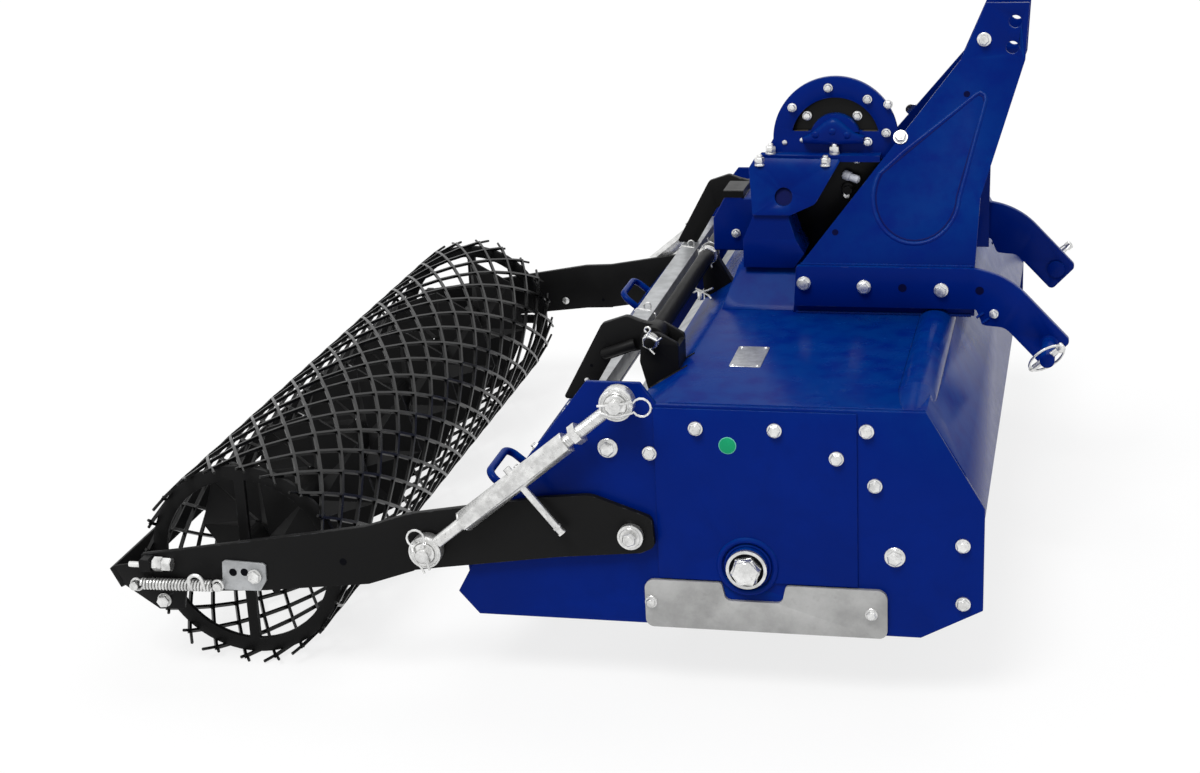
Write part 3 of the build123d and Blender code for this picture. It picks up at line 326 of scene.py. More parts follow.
class Piece:
    """One Blender object made of many small shapes, which rides on one body."""

    def __init__(self, name, material, body, slot, sharp=34.0):
        self.name = name
        self.material = material
        self.body = body
        self.slot = slot
        self.sharp = sharp
        self.bm = bmesh.new()

    def loops(self, rings, ends=True):
        """Skins rings of equally many points, and fills both ends."""
        made = [[self.bm.verts.new(point) for point in ring] for ring in rings]
        count = len(made[0])
        for here, there in zip(made, made[1:]):
            for k in range(count):
                j = (k + 1) % count
                self.bm.faces.new((here[k], here[j], there[j], there[k]))
        if ends:
            self.bm.faces.new(made[0][::-1])
            self.bm.faces.new(made[-1])

    def turned(self, place, axis, profile, sides=24, spin=0.0):
        """Solid of revolution from (radius, height) steps in millimetres along an axis."""
        side, other = basis(axis)
        axis = axis.normalized()
        rings = []
        for radius, height in profile:
            ring = []
            for k in range(sides):
                angle = 2 * math.pi * k / sides + spin
                reach = side * math.cos(angle) + other * math.sin(angle)
                ring.append(place + (reach * radius + axis * height) * MM)
            rings.append(ring)
        self.loops(rings)

    def bolt(self, place, axis, across=18.0, height=7.5, washer=11.5, spin=0.3):
        """Flanged hexagon head with a chamfered top and a washer under it."""
        self.turned(place, axis, [(washer, 0), (washer, 1.7), (washer - 0.8, 2.4)], 28)
        corner = across / math.sqrt(3)
        self.turned(place, axis, [(corner + 1.2, 2.2), (corner + 1.0, 3.2), (corner * 0.99, 3.6)], 28)
        self.turned(place, axis, [(corner, 3.4), (corner, height), (corner * 0.84, height + 1.5)], 6, spin)
        self.turned(place, axis, [(across * 0.38, height + 1.2), (across * 0.36, height + 1.9),
                                  (across * 0.30, height + 2.1)], 18)

    def nut_end(self, place, axis, across=18.0, height=9.0, stud=6.0, washer=11.5, spin=0.2):
        """Nut with the end of its bolt standing out, on a washer."""
        self.turned(place, axis, [(washer, 0), (washer, 1.8), (washer - 0.7, 2.4)], 28)
        corner = across / math.sqrt(3)
        self.turned(place, axis, [(corner * 0.94, 2.2), (corner, 3.2), (corner, height),
                                  (corner * 0.88, height + 1.3)], 6, spin)
        self.turned(place, axis, [(stud, height), (stud, height + 4.5), (stud - 1.0, height + 5.5)], 16)

    def tube(self, points, radius, sides=10, closed=False):
        """Round bar or wire through points, carried along without twist."""
        count = len(points)
        tangents = []
        for i in range(count):
            before = points[(i - 1) % count] if closed or i else points[i]
            after = points[(i + 1) % count] if closed or i < count - 1 else points[i]
            tangents.append((after - before).normalized())
        side, _ = basis(tangents[0])
        rings = []
        for point, tangent in zip(points, tangents):
            side = (side - tangent * side.dot(tangent)).normalized()
            other = tangent.cross(side)
            rings.append([point + (side * math.cos(2 * math.pi * k / sides)
                                   + other * math.sin(2 * math.pi * k / sides)) * radius * MM
                          for k in range(sides)])
        if closed:
            rings.append(rings[0])
            self.loops(rings, ends=False)
        else:
            self.loops(rings)

    def plate(self, outline, place, across, up, out, thick, edge=0.0):
        """Flat plate from (across, up) points in millimetres; its outer face is drawn in by edge."""
        centre = Vector((sum(p[0] for p in outline), sum(p[1] for p in outline))) / len(outline)

        def ring(shrink, height):
            points = []
            for u, v in outline:
                toward = centre - Vector((u, v))
                step = toward.normalized() * shrink if shrink and toward.length else Vector((0, 0))
                points.append(place + (across * (u + step.x) + up * (v + step.y) + out * height) * MM)
            return points

        rings = [ring(0, 0), ring(0, thick - edge)]
        if edge:
            rings.append(ring(edge, thick))
        self.loops(rings)

    def bead(self, start, end, radius=2.6, pitch=4.0):
        """Weld bead: a row of overlapping scales along a seam."""
        along = end - start
        steps = max(2, int(along.length / (pitch * MM)))
        points = []
        sizes = []
        for i in range(steps * 4 + 1):
            points.append(start + along * (i / (steps * 4)))
            wave = 0.5 + 0.5 * math.cos(2 * math.pi * i / 4)
            sizes.append(radius * (0.80 + 0.20 * wave + 0.07 * math.sin(i * 2.7)))
        side, other = basis(along)
        rings = [[point + (side * math.cos(2 * math.pi * k / 8) + other * math.sin(2 * math.pi * k / 8))
                  * size * MM for k in range(8)] for point, size in zip(points, sizes)]
        self.loops(rings)

    def done(self):
        bmesh.ops.recalc_face_normals(self.bm, faces=self.bm.faces)
        data = bpy.data.meshes.new(self.name)
        self.bm.to_mesh(data)
        self.bm.free()
        data.shade_smooth()
        data.set_sharp_from_angle(angle=math.radians(self.sharp))
        data.materials.append(self.material)
        piece = bpy.data.objects.new(self.name, data)
        bpy.context.collection.objects.link(piece)
        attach(piece, self.body)
        return piece


def circle(centre, first, second, radius, steps):
    """Points all round a circle in the plane of two directions, for a closed bar."""
    return arc(centre, first, second, radius, 0, 360 - 360 / steps, steps)


def arc(centre, first, second, radius, start, end, steps):
    """Points of an arc in the plane of two directions, angles in degrees, radius in millimetres."""
    points = []
    for i in range(steps + 1):
        angle = math.radians(start + (end - start) * i / steps)
        points.append(centre + (first * math.cos(angle) + second * math.sin(angle)) * radius * MM)
    return points


def rose(piece, place, out, radius):
    """Thin round patch on a face, painted shade that stands for the dark mouth of a drilled hole."""
    piece.turned(place, out, [(radius, 0), (radius, 0.3)], 28)


# --- Housing ----------------------------------------------------------------------------------
PLATE_BOLTS = [(168, 408), (179, 329), (-135, 365), (299, 246), (300, 159)]
PANEL_BOLTS = [(-68, 405), (42, 406), (127, 368)]
CASE_FRONT = 100.0        # the drive case covers the left side plate behind this x
DRIVE_FOOT = Vector((0, ROTOR_Z))
DRIVE_HEAD = Vector((-30, 535))


def side_fasteners(side):
    out = ACROSS * side
    zinc = Piece("side_bolts_" + HAND[side], ZINC, "frame", "zinc_plate")
    spin = 0.0
    for x, z in PLATE_BOLTS:
        spin += 0.7
        zinc.bolt(spot(side, x, HALF, z), out, 16, 7, 10.2, spin)
    for x, z in PANEL_BOLTS:
        spin += 0.9
        if side < 0:
            zinc.bolt(spot(side, x, HALF + PANEL_T, z), out, 16, 7, 10.2, spin)
        elif x > CASE_FRONT:
            zinc.bolt(spot(side, x, HALF, z), out, 16, 7, 10.2, spin)
    for x, z in ((-195, 370), (206, 224)):
        zinc.bolt(spot(side, x, HALF, z), out, 19, 8, 14.5, spin + x)
    for x, z in ((-140, 140), (174, 138)):
        zinc.bolt(spot(side, x, HALF + SKID_T, z), out, 13, 6, 9, spin - x)
    zinc.done()
    arm = Piece("arm_pivot_bolt_" + HAND[side], ZINC, "frame", "zinc_plate")
    cap = spot(side, *ARM_PIVOT)
    arm.turned(cap, out, [(15, 0), (15, 1.6), (14.2, 2.6)], 32)
    arm.turned(cap, out, [(10.8, 2.4), (10.8, 8), (9.2, 10)], 6, 0.35)
    arm.turned(cap, out, [(6, 9.5), (5.6, 10.6), (4.5, 11)], 20)
    arm.done()
    mark = Piece("side_slit_" + HAND[side], BLUE_HOLE, "frame", "blue_paint")
    mark.plate([(-4, -9), (4, -9), (4, 9), (-4, 9)], spot(side, -116, HALF, 183), FORWARD, UP, out, 0.3)
    mark.done()


def hub():
    """Turned face of the rotor's nut, its centre hole, and the weld round the bearing boss."""
    groove = Piece("rotor_nut_groove", HOLE, "rotor", "bright_steel")
    groove.turned(at(0, -670.8, ROTOR_Z), OUT_RIGHT, [(24.6, 0), (24.6, 0.5)], 48)
    groove.done()
    face = Piece("rotor_nut_face", BRIGHT, "rotor", "bright_steel", 20.0)
    face.turned(at(0, -671.2, ROTOR_Z), OUT_RIGHT, [(22.6, 0), (22.6, 4.0), (21.4, 8.5), (18.6, 12.6)], 6,
                0.2)
    face.turned(at(0, -683.0, ROTOR_Z), OUT_RIGHT, [(16.8, 0), (15.6, 1.3), (12, 1.7)], 36)
    face.done()
    boss = Piece("hub_weld", BLUE_SMOOTH, "frame", "blue_paint")
    for reach, radius, thick, sides in ((656.6, 40.0, 4.6, 10), (656.0, 31.4, 2.6, 8)):
        boss.tube(circle(at(0, -reach, ROTOR_Z), FORWARD, UP, radius, 60), thick, sides, True)
    boss.done()


def green_disc():
    place = at(-24, -HALF - PANEL_T, 381)
    rim = Piece("round_sign_rim", GREEN_RIM, "frame", "guard_plastic")
    rim.turned(place, OUT_RIGHT, [(12.4, 0), (12.4, 0.5), (12.1, 0.7)], 48)
    rim.done()
    disc = Piece("round_sign", GREEN, "frame", "guard_plastic")
    disc.turned(place, OUT_RIGHT, [(11.4, 0.6), (11.4, 0.9), (11.1, 1.0)], 48)
    disc.done()


def deck_details():
    x, y = -27.5, -435.5
    plate = Piece("deck_plate", PLATE, "frame", "bright_steel")
    outline = [(-23, -45), (-21, -47.5), (21, -47.5), (23.5, -45), (23.5, 45), (21, 47.5), (-21, 47.5),
               (-23, 45)]
    plate.plate(outline, at(x, y, DECK_TOP - 1), FORWARD, ACROSS, UP, 1.2, 0.4)
    plate.done()
    rivets = Piece("deck_rivets", ZINC, "frame", "zinc_plate")
    for dx in (-18, 18):
        for dy in (-42, 42):
            rivets.turned(at(x + dx, y + dy, DECK_TOP), UP, [(2.8, 0), (2.4, 1.0), (1.2, 1.6)], 14)
    rivets.done()
    seam = Piece("deck_welds", BLUE_SMOOTH, "frame", "blue_paint")
    for side in (-1, 1):
        for start, end, height, radius, pitch in (((10, 206), (280, 206), DECK_TOP, 3.0, 4.5),
                                                  ((-108, 646.5), (246, 646.5), DECK_TOP - 1, 1.6, 5.0),
                                                  ((160.5, 10), (160.5, 196), DECK_TOP, 2.8, 4.5)):
            seam.bead(spot(side, *start, height), spot(side, *end, height), radius, pitch)
    seam.done()
    cotter = Piece("deck_cotter", ZINC, "frame", "zinc_plate")
    cotter.tube(arc(at(-168, -124, 447), FORWARD, UP, 5, 40, 320, 12), 1.6, 8)
    for leg in (((-164, -126, 449), (-150, -136, 447), (-141, -141, 451), (-133, -146, 456)),
                ((-164, -126, 445), (-150, -136, 445), (-141, -143, 443), (-135, -150, 439))):
        cotter.tube([at(*place) for place in leg], 1.6, 8)
    cotter.turned(at(-156, -131, 432), UP, [(5, 0), (5, 13), (4, 14.5)], 16)
    cotter.done()


def case_details():
    """Cover plate, bolts and oil plugs on the drive case of the left side."""
    along = DRIVE_HEAD - DRIVE_FOOT
    span = along.length
    along.normalize()
    across = Vector((along.y, -along.x))
    foot_reach = 57           # of the bolts from the middle of the case's two round ends
    head_reach = 49
    spots = []
    for centre, reach, angles in ((DRIVE_FOOT, foot_reach, (-150, -110, -70, -30)),
                                  (DRIVE_HEAD, head_reach, (30, 90, 150))):
        for turn in map(math.radians, angles):
            spots.append(centre + (across * math.cos(turn) + along * math.sin(turn)) * reach)
    for share in (0.12, 0.38, 0.62, 0.86):
        reach = foot_reach + (head_reach - foot_reach) * share
        for hand in (-1, 1):
            spots.append(DRIVE_FOOT + along * (span * share) + across * (hand * reach))
    bolts = Piece("case_bolts", ZINC, "frame", "zinc_plate")
    for i, place in enumerate(spots):
        bolts.bolt(at(place.x, CASE_FACE, place.y), OUT_LEFT, 13, 6, 8.5, i * 0.8)
    bolts.done()
    plug = Piece("case_plugs", BRASS, "frame", "bright_steel")
    for x, z in ((-13, 330), (6, 172)):
        plug.turned(at(x, CASE_FACE, z), OUT_LEFT, [(12, 0), (12, 3), (11, 4)], 28)
        plug.turned(at(x, CASE_FACE, z), OUT_LEFT, [(9.5, 3.5), (9.5, 10), (8.2, 11.2)], 6, 0.4)
    plug.done()
    cover = Piece("case_bearing_cap", CASTING, "frame", "gearbox_paint")
    for centre, profile in ((DRIVE_FOOT, [(36, 0), (36, 5), (33, 8), (14, 9)]),
                            (DRIVE_HEAD, [(30, 0), (30, 4), (27, 7), (12, 8)])):
        cover.turned(at(centre.x, CASE_FACE, centre.y), OUT_LEFT, profile, 48)
    cover.done()


# --- Headstock and gearbox --------------------------------------------------------------------
LEAN_FOOT = (205.0, 515.0)     # y and z of the leaning mast plate's outer face at its foot
LEAN_SLOPE = 160 / 288
LEAN_OUT = 0.874               # outward and upward parts of its normal
LEAN_UP = 0.486


def leaning(side, x, z, lift=0.0):
    """A place on the outer face of the leaning mast plate."""
    y = LEAN_FOOT[0] - LEAN_SLOPE * (z - LEAN_FOOT[1])
    return spot(side, x, y + lift * LEAN_OUT, z + lift * LEAN_UP)


def pressed_outline():
    """Middle line of the drop-shaped pressing, from its left flank round the big end to its tip."""
    centre = Vector((191, 612))
    tip = Vector((280, 746))
    points = []
    for angle in range(150, 362, 10):
        turn = math.radians(angle)
        points.append(centre + Vector((math.cos(turn), math.sin(turn))) * 62)
    start, end = points[0], points[-1]
    for share in (0.25, 0.5, 0.75, 1.0):
        points.append(end.lerp(tip + Vector((9, -3)), share))
    points += [tip + Vector((7, 5)), tip + Vector((0, 8)), tip + Vector((-7, 4))]
    last = points[-1]
    for share in (0.25, 0.5, 0.75):
        points.append(last.lerp(start, share))
    return points


def mast_details(side):
    out = ACROSS * side
    normal = Vector((0, side * LEAN_OUT, LEAN_UP))
    zinc = Piece("mast_bolts_" + HAND[side], ZINC, "frame", "zinc_plate")
    for x, z in ((24, 488), (117, 484), (235, 481)):
        zinc.bolt(spot(side, x, MAST_FACE, z), out, 17, 7, 11, x * 0.1)
        zinc.nut_end(spot(side, x, MAST_BACK, z), -out, 17, 9, 5, 11, x * 0.2)
    zinc.bolt(spot(side, 315, MAST_FACE, 445), out, 10, 4.5, 7, 0.4)
    zinc.bolt(leaning(side, 163, 694), normal, 15, 6, 11.5, 0.2)
    zinc.bolt(spot(side, 286, 45, 835), out, 15, 6, 11, 0.8)
    zinc.done()
    holes = Piece("mast_holes_" + HAND[side], BLUE_HOLE, "frame", "blue_paint")
    for x, z in ((176, 483), (293, 481)):
        rose(holes, spot(side, x, MAST_FACE, z), out, 6.5)
    for x, z in ((262, 755), (69, 560)):
        rose(holes, leaning(side, x, z), normal, 5)
    holes.done()
    middle = pressed_outline()
    centre = Vector((205, 630))
    wide = [p + (p - centre).normalized() * 4.5 for p in middle]
    for name, material, points, lift, radius, sides in (
            ("mast_groove_", GROOVE, middle, -1.6, 2.2, 8),
            ("mast_ridge_", BLUE_SMOOTH, wide, -2.9, 4.6, 12)):
        bar = Piece(name + HAND[side], material, "frame", "blue_paint")
        bar.tube([leaning(side, p.x, p.y, lift) for p in points], radius, sides, True)
        bar.done()
    weld = Piece("mast_welds_" + HAND[side], BLUE_SMOOTH, "frame", "blue_paint")
    weld.bead(spot(side, 18, 205.5, 515.5), spot(side, 283, 205.5, 515.5), 2.4, 5.0)
    for x, z in ((295, 442), (303, 433)):
        weld.bead(spot(side, x - 6, MAST_FACE, z - 4), spot(side, x + 5, MAST_FACE, z + 4), 2.4, 3.0)
    weld.done()


def hitch_pin_ring(side):
    """Lynch pin through the end of a lower hitch pin, with its spring ring folded over it."""
    centre = spot(side, 397, 291, 400)
    along = Vector((0.77, 0, 0.64))
    cross = Vector((-0.64 * 0.67, -0.74, 0.77 * 0.67)).normalized() if side < 0 else ACROSS
    pin = Piece("lynch_pin_" + HAND[side], ZINC, "frame", "zinc_plate")
    foot = centre - along * 27 * MM
    pin.turned(foot, along, [(2.5, 0), (4.4, 3), (4.6, 40), (4.6, 50)], 18)
    head = centre + along * 21 * MM
    pin.turned(head, along, [(6.4, 0), (7.2, 1.5), (7.2, 8.5), (6, 10)], 20)
    ring = []
    for k in range(44):
        angle = 2 * math.pi * k / 44
        ring.append(centre + (along * math.cos(angle) * 28.5 + cross * math.sin(angle) * 27) * MM)
    pin.tube(ring, 1.9, 10, True)
    for end in (-1, 1):
        place = centre + along * end * 28.5 * MM - cross * 4 * MM
        pin.turned(place, cross, [(3.2, 0), (3.4, 1), (3.4, 7), (3.0, 8)], 14)
    pin.done()


# Outline of the blue crest over the bearing, from its lower left round its peak.
CREST = [(10, 683), (8, 692), (22, 699), (36, 711), (49, 721), (57, 724), (65, 722), (76, 713), (90, 701),
         (106, 694), (106, 683), (58, 681)]


def gearbox_details():
    zinc = Piece("gearbox_bolts", ZINC, "frame", "zinc_plate")
    for x, z in ((50, 770), (111, 752), (-7, 739), (143, 744), (140, 699), (111, 685)):
        zinc.bolt(at(x, FLANGE_FACE, z), OUT_RIGHT, 10.5, 6.5, 6.6, x * 0.3)
    for x, z in ((15, 724), (94, 724), (93, 655)):
        zinc.bolt(at(x, CASTING_FACE, z), OUT_RIGHT, 11, 6, 7.6, x * 0.2)
    for x, z in ((-20, 683), (8, 687)):
        zinc.turned(at(x, FLANGE_FACE, z), OUT_RIGHT, [(4.2, 0), (3.8, 1.6), (2.0, 2.4)], 16)
    for x, y, z in ((-41, -105.5, 667), (60, -105.5, 667), (-56, -125, 653), (48, -125, 653)):
        zinc.nut_end(at(x, y, z), UP, 14, 11, 4.5, 8.6, x * 0.4)
    zinc.bolt(at(-107, -60, 525), OUT_RIGHT, 11, 5, 7, 0.4)
    zinc.done()
    black = Piece("gearbox_plug", CASTING, "frame", "gearbox_paint")
    place = at(78, CASTING_FACE, 606)
    black.turned(place, OUT_RIGHT, [(12, 0), (12, 3), (10.5, 4)], 28)
    black.turned(place, OUT_RIGHT, [(8, 3.5), (8, 9), (6.8, 10.2)], 6, 0.3)
    black.done()
    vent = Piece("gearbox_breather", WHITE, "frame", "guard_plastic")
    lean = Vector((0.93, -0.18, -0.32))
    vent.turned(at(72, -96, 633), lean, [(5.0, 0), (7.4, 2), (7.4, 12), (6.2, 13), (6.2, 26), (4.0, 28)], 24)
    vent.turned(at(80, -84, 630), OUT_RIGHT, [(4.5, 0), (4.5, 12)], 16)
    vent.done()
    plug = Piece("gearbox_plug_rings", BRIGHT, "frame", "bright_steel")
    plug.turned(at(76, CASTING_FACE, 597), OUT_RIGHT, [(5.5, 0), (5.5, 5), (4.5, 6)], 6, 0.2)
    plug.turned(at(83, CASTING_FACE, 613), OUT_RIGHT, [(3.6, 0), (3.2, 2.5), (1.6, 3.2)], 14)
    plug.done()
    crest = Piece("gearbox_crest", BLUE_SMOOTH, "frame", "blue_paint", 60.0)
    rings = []
    middle = Vector((57, 694))
    for lift, shrink in ((-6.0, 1.0), (0.0, 1.0), (4.0, 0.93), (7.0, 0.78), (8.2, 0.50)):
        drawn = [middle.lerp(Vector(corner), shrink) for corner in CREST]
        rings.append([at(p.x, -101 - lift, p.y) for p in drawn])
    crest.loops(rings)
    for x, z in ((31, 698), (57, 703), (80, 697)):
        crest.turned(at(x, -106, z), OUT_RIGHT, [(7, 0), (5.6, 3.2), (2.4, 4.6)], 18)
    crest.done()
    dust = Piece("gearbox_dust", DUST, "frame", "gearbox_paint")
    for low, high in ((-5, 18), (102, 126)):
        dust.plate([(low, -94.5), (high, -94.5), (high - 2, -85.4), (low + 3, -85.4)], at(0, 0, 701), FORWARD,
                   ACROSS, UP, 0.3)
    dust.done()
    lip = Piece("gearbox_lip_cap", CASTING, "frame", "gearbox_paint")
    outline = [(-127, -60.6), (-93.5, -60.6), (-93.5, 5.6), (-127, 5.6)]
    lip.plate(outline, at(0, 0, 584), FORWARD, ACROSS, UP, 12.0, 1.2)
    lip.done()
    shield_out = Vector((0, -0.927, 0.375))
    behind = Piece("gearbox_shield_hole", BLUE_SHADE, "frame", "blue_paint")
    behind.turned(at(-16, -143.5, 607) - shield_out * 4 * MM, shield_out, [(13.8, 0), (13.8, 1.0)], 28)
    behind.done()


def spline_shaft():
    """Power take-off stub with six splines, its locking groove and chamfered end."""
    shaft = Piece("splined_shaft", BRIGHT, "pto", "bright_steel", 28.0)
    splines = 6
    tooth = ((-15, 0), (-11, 0), (-9, 1), (0, 1), (9, 1), (11, 0), (15, 0), (24, 0), (30, 0), (36, 0))
    # Place along the shaft, radius at the splines' tips and between them.
    sections = [(120, 20.0, 20.0), (179, 20.0, 20.0), (181, 17.4, 14.4), (212, 17.4, 14.4),
                (213.5, 14.6, 14.4), (219, 14.6, 14.4), (220.5, 17.4, 14.4), (249.5, 17.4, 14.4),
                (252, 15.2, 14.0)]
    rings = []
    for x, tip, root in sections:
        ring = []
        for k in range(splines):
            for turn, raised in tooth:
                angle = math.radians(360 / splines * k + turn)
                reach = tip if raised else root
                ring.append(at(x, reach * math.sin(angle), SHAFT_Z + reach * math.cos(angle)))
        rings.append(ring)
    shaft.loops(rings)
    shaft.turned(at(252, 0, SHAFT_Z), FORWARD, [(9, -0.5), (8, 0.4), (4, 0.5)], 24)
    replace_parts(shaft.done(), "pto_shaft")


def guard_ribs():
    ribs = Piece("guard_ribs", PLASTIC, "frame", "guard_plastic")
    for x in (172, 206, 240):
        ribs.tube(circle(at(x, 0, SHAFT_Z), ACROSS, UP, 74.2, 60), 1.5, 8, True)
    ribs.done()


# --- Levelling board --------------------------------------------------------------------------
def r_clip(piece, pin, along, across, length):
    """Spring clip: a straight leg through the pin, a loop, and a leg that springs round it."""
    def place(u, v):
        return pin + (along * u + across * v) * MM

    loop = 13
    points = [place(-24, 2), place(-6, 3), place(12, 4.5), place(length * 0.42, 7.5)]
    for angle in range(150, -151, -25):
        turn = math.radians(angle)
        points.append(place(length * 0.62 + loop * math.cos(turn), loop * math.sin(turn) - 0.5))
    points += [place(length * 0.40, -8.5), place(20, -9.5), place(9, -12.4), place(0, -13), place(-9, -12),
               place(-17, -8.5), place(-27, -7.5)]
    piece.tube(points, 1.7, 10)


def board_details():
    rod = Piece("arm_rods", BLACK, "board", "black_paint")
    spot_black = Piece("arm_foot_holes", HOLE, "board", "black_paint")
    zinc = Piece("board_fasteners", ZINC, "board", "zinc_plate")
    for side in (-1, 1):
        start = spot(side, -242, 462, 444)
        end = spot(side, -190, 462, 463)
        along = (end - start).normalized()
        rod.turned(start, along, [(4, -3), (7.4, 0), (8, 3), (8, 50), (7, 52.5)], 24)
        rod.bead(spot(side, -238, 456.4, 435), spot(side, -190, 456.4, 453), 2.0, 4.0)
        zinc.turned(spot(side, -270, 456, 401), ACROSS * side, [(4.2, 0), (3.8, 1.2), (2, 2)], 16)
        rose(spot_black, spot(side, -274, 456, 389), ACROSS * side, 4)
        rose(spot_black, spot(side, -262, 456, 424), ACROSS * side, 2.5)
    for y in (414, 8, -474):
        clip = [at(-297, y, 367), at(-293, y - 1, 371.5), at(-284, y - 4, 371.5), at(-270, y - 7, 369.8),
                at(-261, y - 9, 366), at(-259, y - 10, 352)]
        zinc.tube(clip, 2.0, 10)
        loop = arc(at(-277, y + 9, 374), FORWARD, UP, 6, -60, 240, 14)
        zinc.tube(loop, 1.4, 8)
        zinc.turned(at(-291, y, 365.5), UP, [(5, 0), (5, 1.6), (4, 2.2)], 18)
    zinc.bolt(at(-285, -520, 371), UP, 13, 5.5, 8.5, 0.2)
    zinc.bolt(at(-285, 520, 371), UP, 13, 5.5, 8.5, 0.5)
    rod.done()
    spot_black.done()
    zinc.done()
    face = (at(-420, 0, 206) - at(-290, 0, 366)).normalized()
    out = Vector((face.z, 0, -face.x))
    if out.x > 0:
        out = -out
    strips = Piece("board_end_strips", GALVANISED, "board", "zinc_plate")
    nuts = Piece("board_end_nuts", ZINC, "board", "zinc_plate")
    outline = [(-11, 0), (11, 0), (11, 70), (8, 74), (-8, 74), (-11, 70)]
    thick = 3.0
    for side in (-1, 1):
        place = spot(side, -291, 628, 364.8)
        strips.plate(outline, place, ACROSS, face, out, thick, 0.5)
        for reach in (60, 16):
            nuts.nut_end(place + (face * reach + out * thick) * MM, out, 12, 6, 4, 8.5)
    strips.done()
    nuts.done()
    feet = Piece("handle_welds", BLUE, "board", "blue_paint")
    for side in (-1, 1):
        for y in (422, 520):
            feet.tube(arc(spot(side, -384.6, y, 249.6), *basis(out), 7.5, 0, 340, 17), 2.2, 8, True)
    feet.done()


def hinge_wire(piece, side, reach, radius, bends):
    """Bent wire at the hinge, from steps forward, outward and up in millimetres from its axis."""
    points = [spot(side, HINGE[0] + dx, reach + dy, HINGE[1] + dz) for dx, dy, dz in bends]
    piece.tube(points, radius, 8)


def hinge_details():
    zinc = Piece("hinge_nuts", BRIGHT, "frame", "bright_steel")
    for side in (-1, 1):
        for reach, out in ((479, side), (421, -side)):
            direction = ACROSS * out
            place = spot(side, HINGE[0], reach, HINGE[1])
            zinc.turned(place, direction, [(12.5, 0.1), (12.5, 2)], 28)
            zinc.turned(place, direction, [(12, 2), (12.4, 3), (12.4, 9), (10.8, 10.4)], 6, 0.5)
        place = spot(side, HINGE[0], 9.2, HINGE[1])
        zinc.turned(place, ACROSS * side, [(16.5, 0), (16.5, 2)], 28)
        zinc.turned(place, ACROSS * side, [(15.8, 2), (16, 3), (16, 10), (14.4, 11.4)], 6, 0.5)
        hinge_wire(zinc, side, 9.2, 1.6, ((-6, 16, 20), (2, 16, 4), (10, 18, -16)))
        pin = 491.5
        hinge_wire(zinc, side, pin, 1.5, ((-2, 0, 16), (0, 0, 0), (1, 0, -10), (7, 0, -17)))
        eye = spot(side, HINGE[0] - 2, pin, HINGE[1] + 20)
        zinc.tube(arc(eye, FORWARD, UP, 4, -60, 240, 12), 1.5, 8)
        hinge_wire(zinc, side, pin, 1.5, ((-4, 2, 12), (12, 2, 4), (19, 2, 9)))
    zinc.done()
    weld = Piece("bracket_welds", BLACK, "frame", "black_paint")
    for side in (-1, 1):
        for reach in (479.6, 420.4):
            weld.bead(spot(side, -112, reach, 435.7), spot(side, -168, reach, 400.5), 2.2, 4.0)
    weld.done()


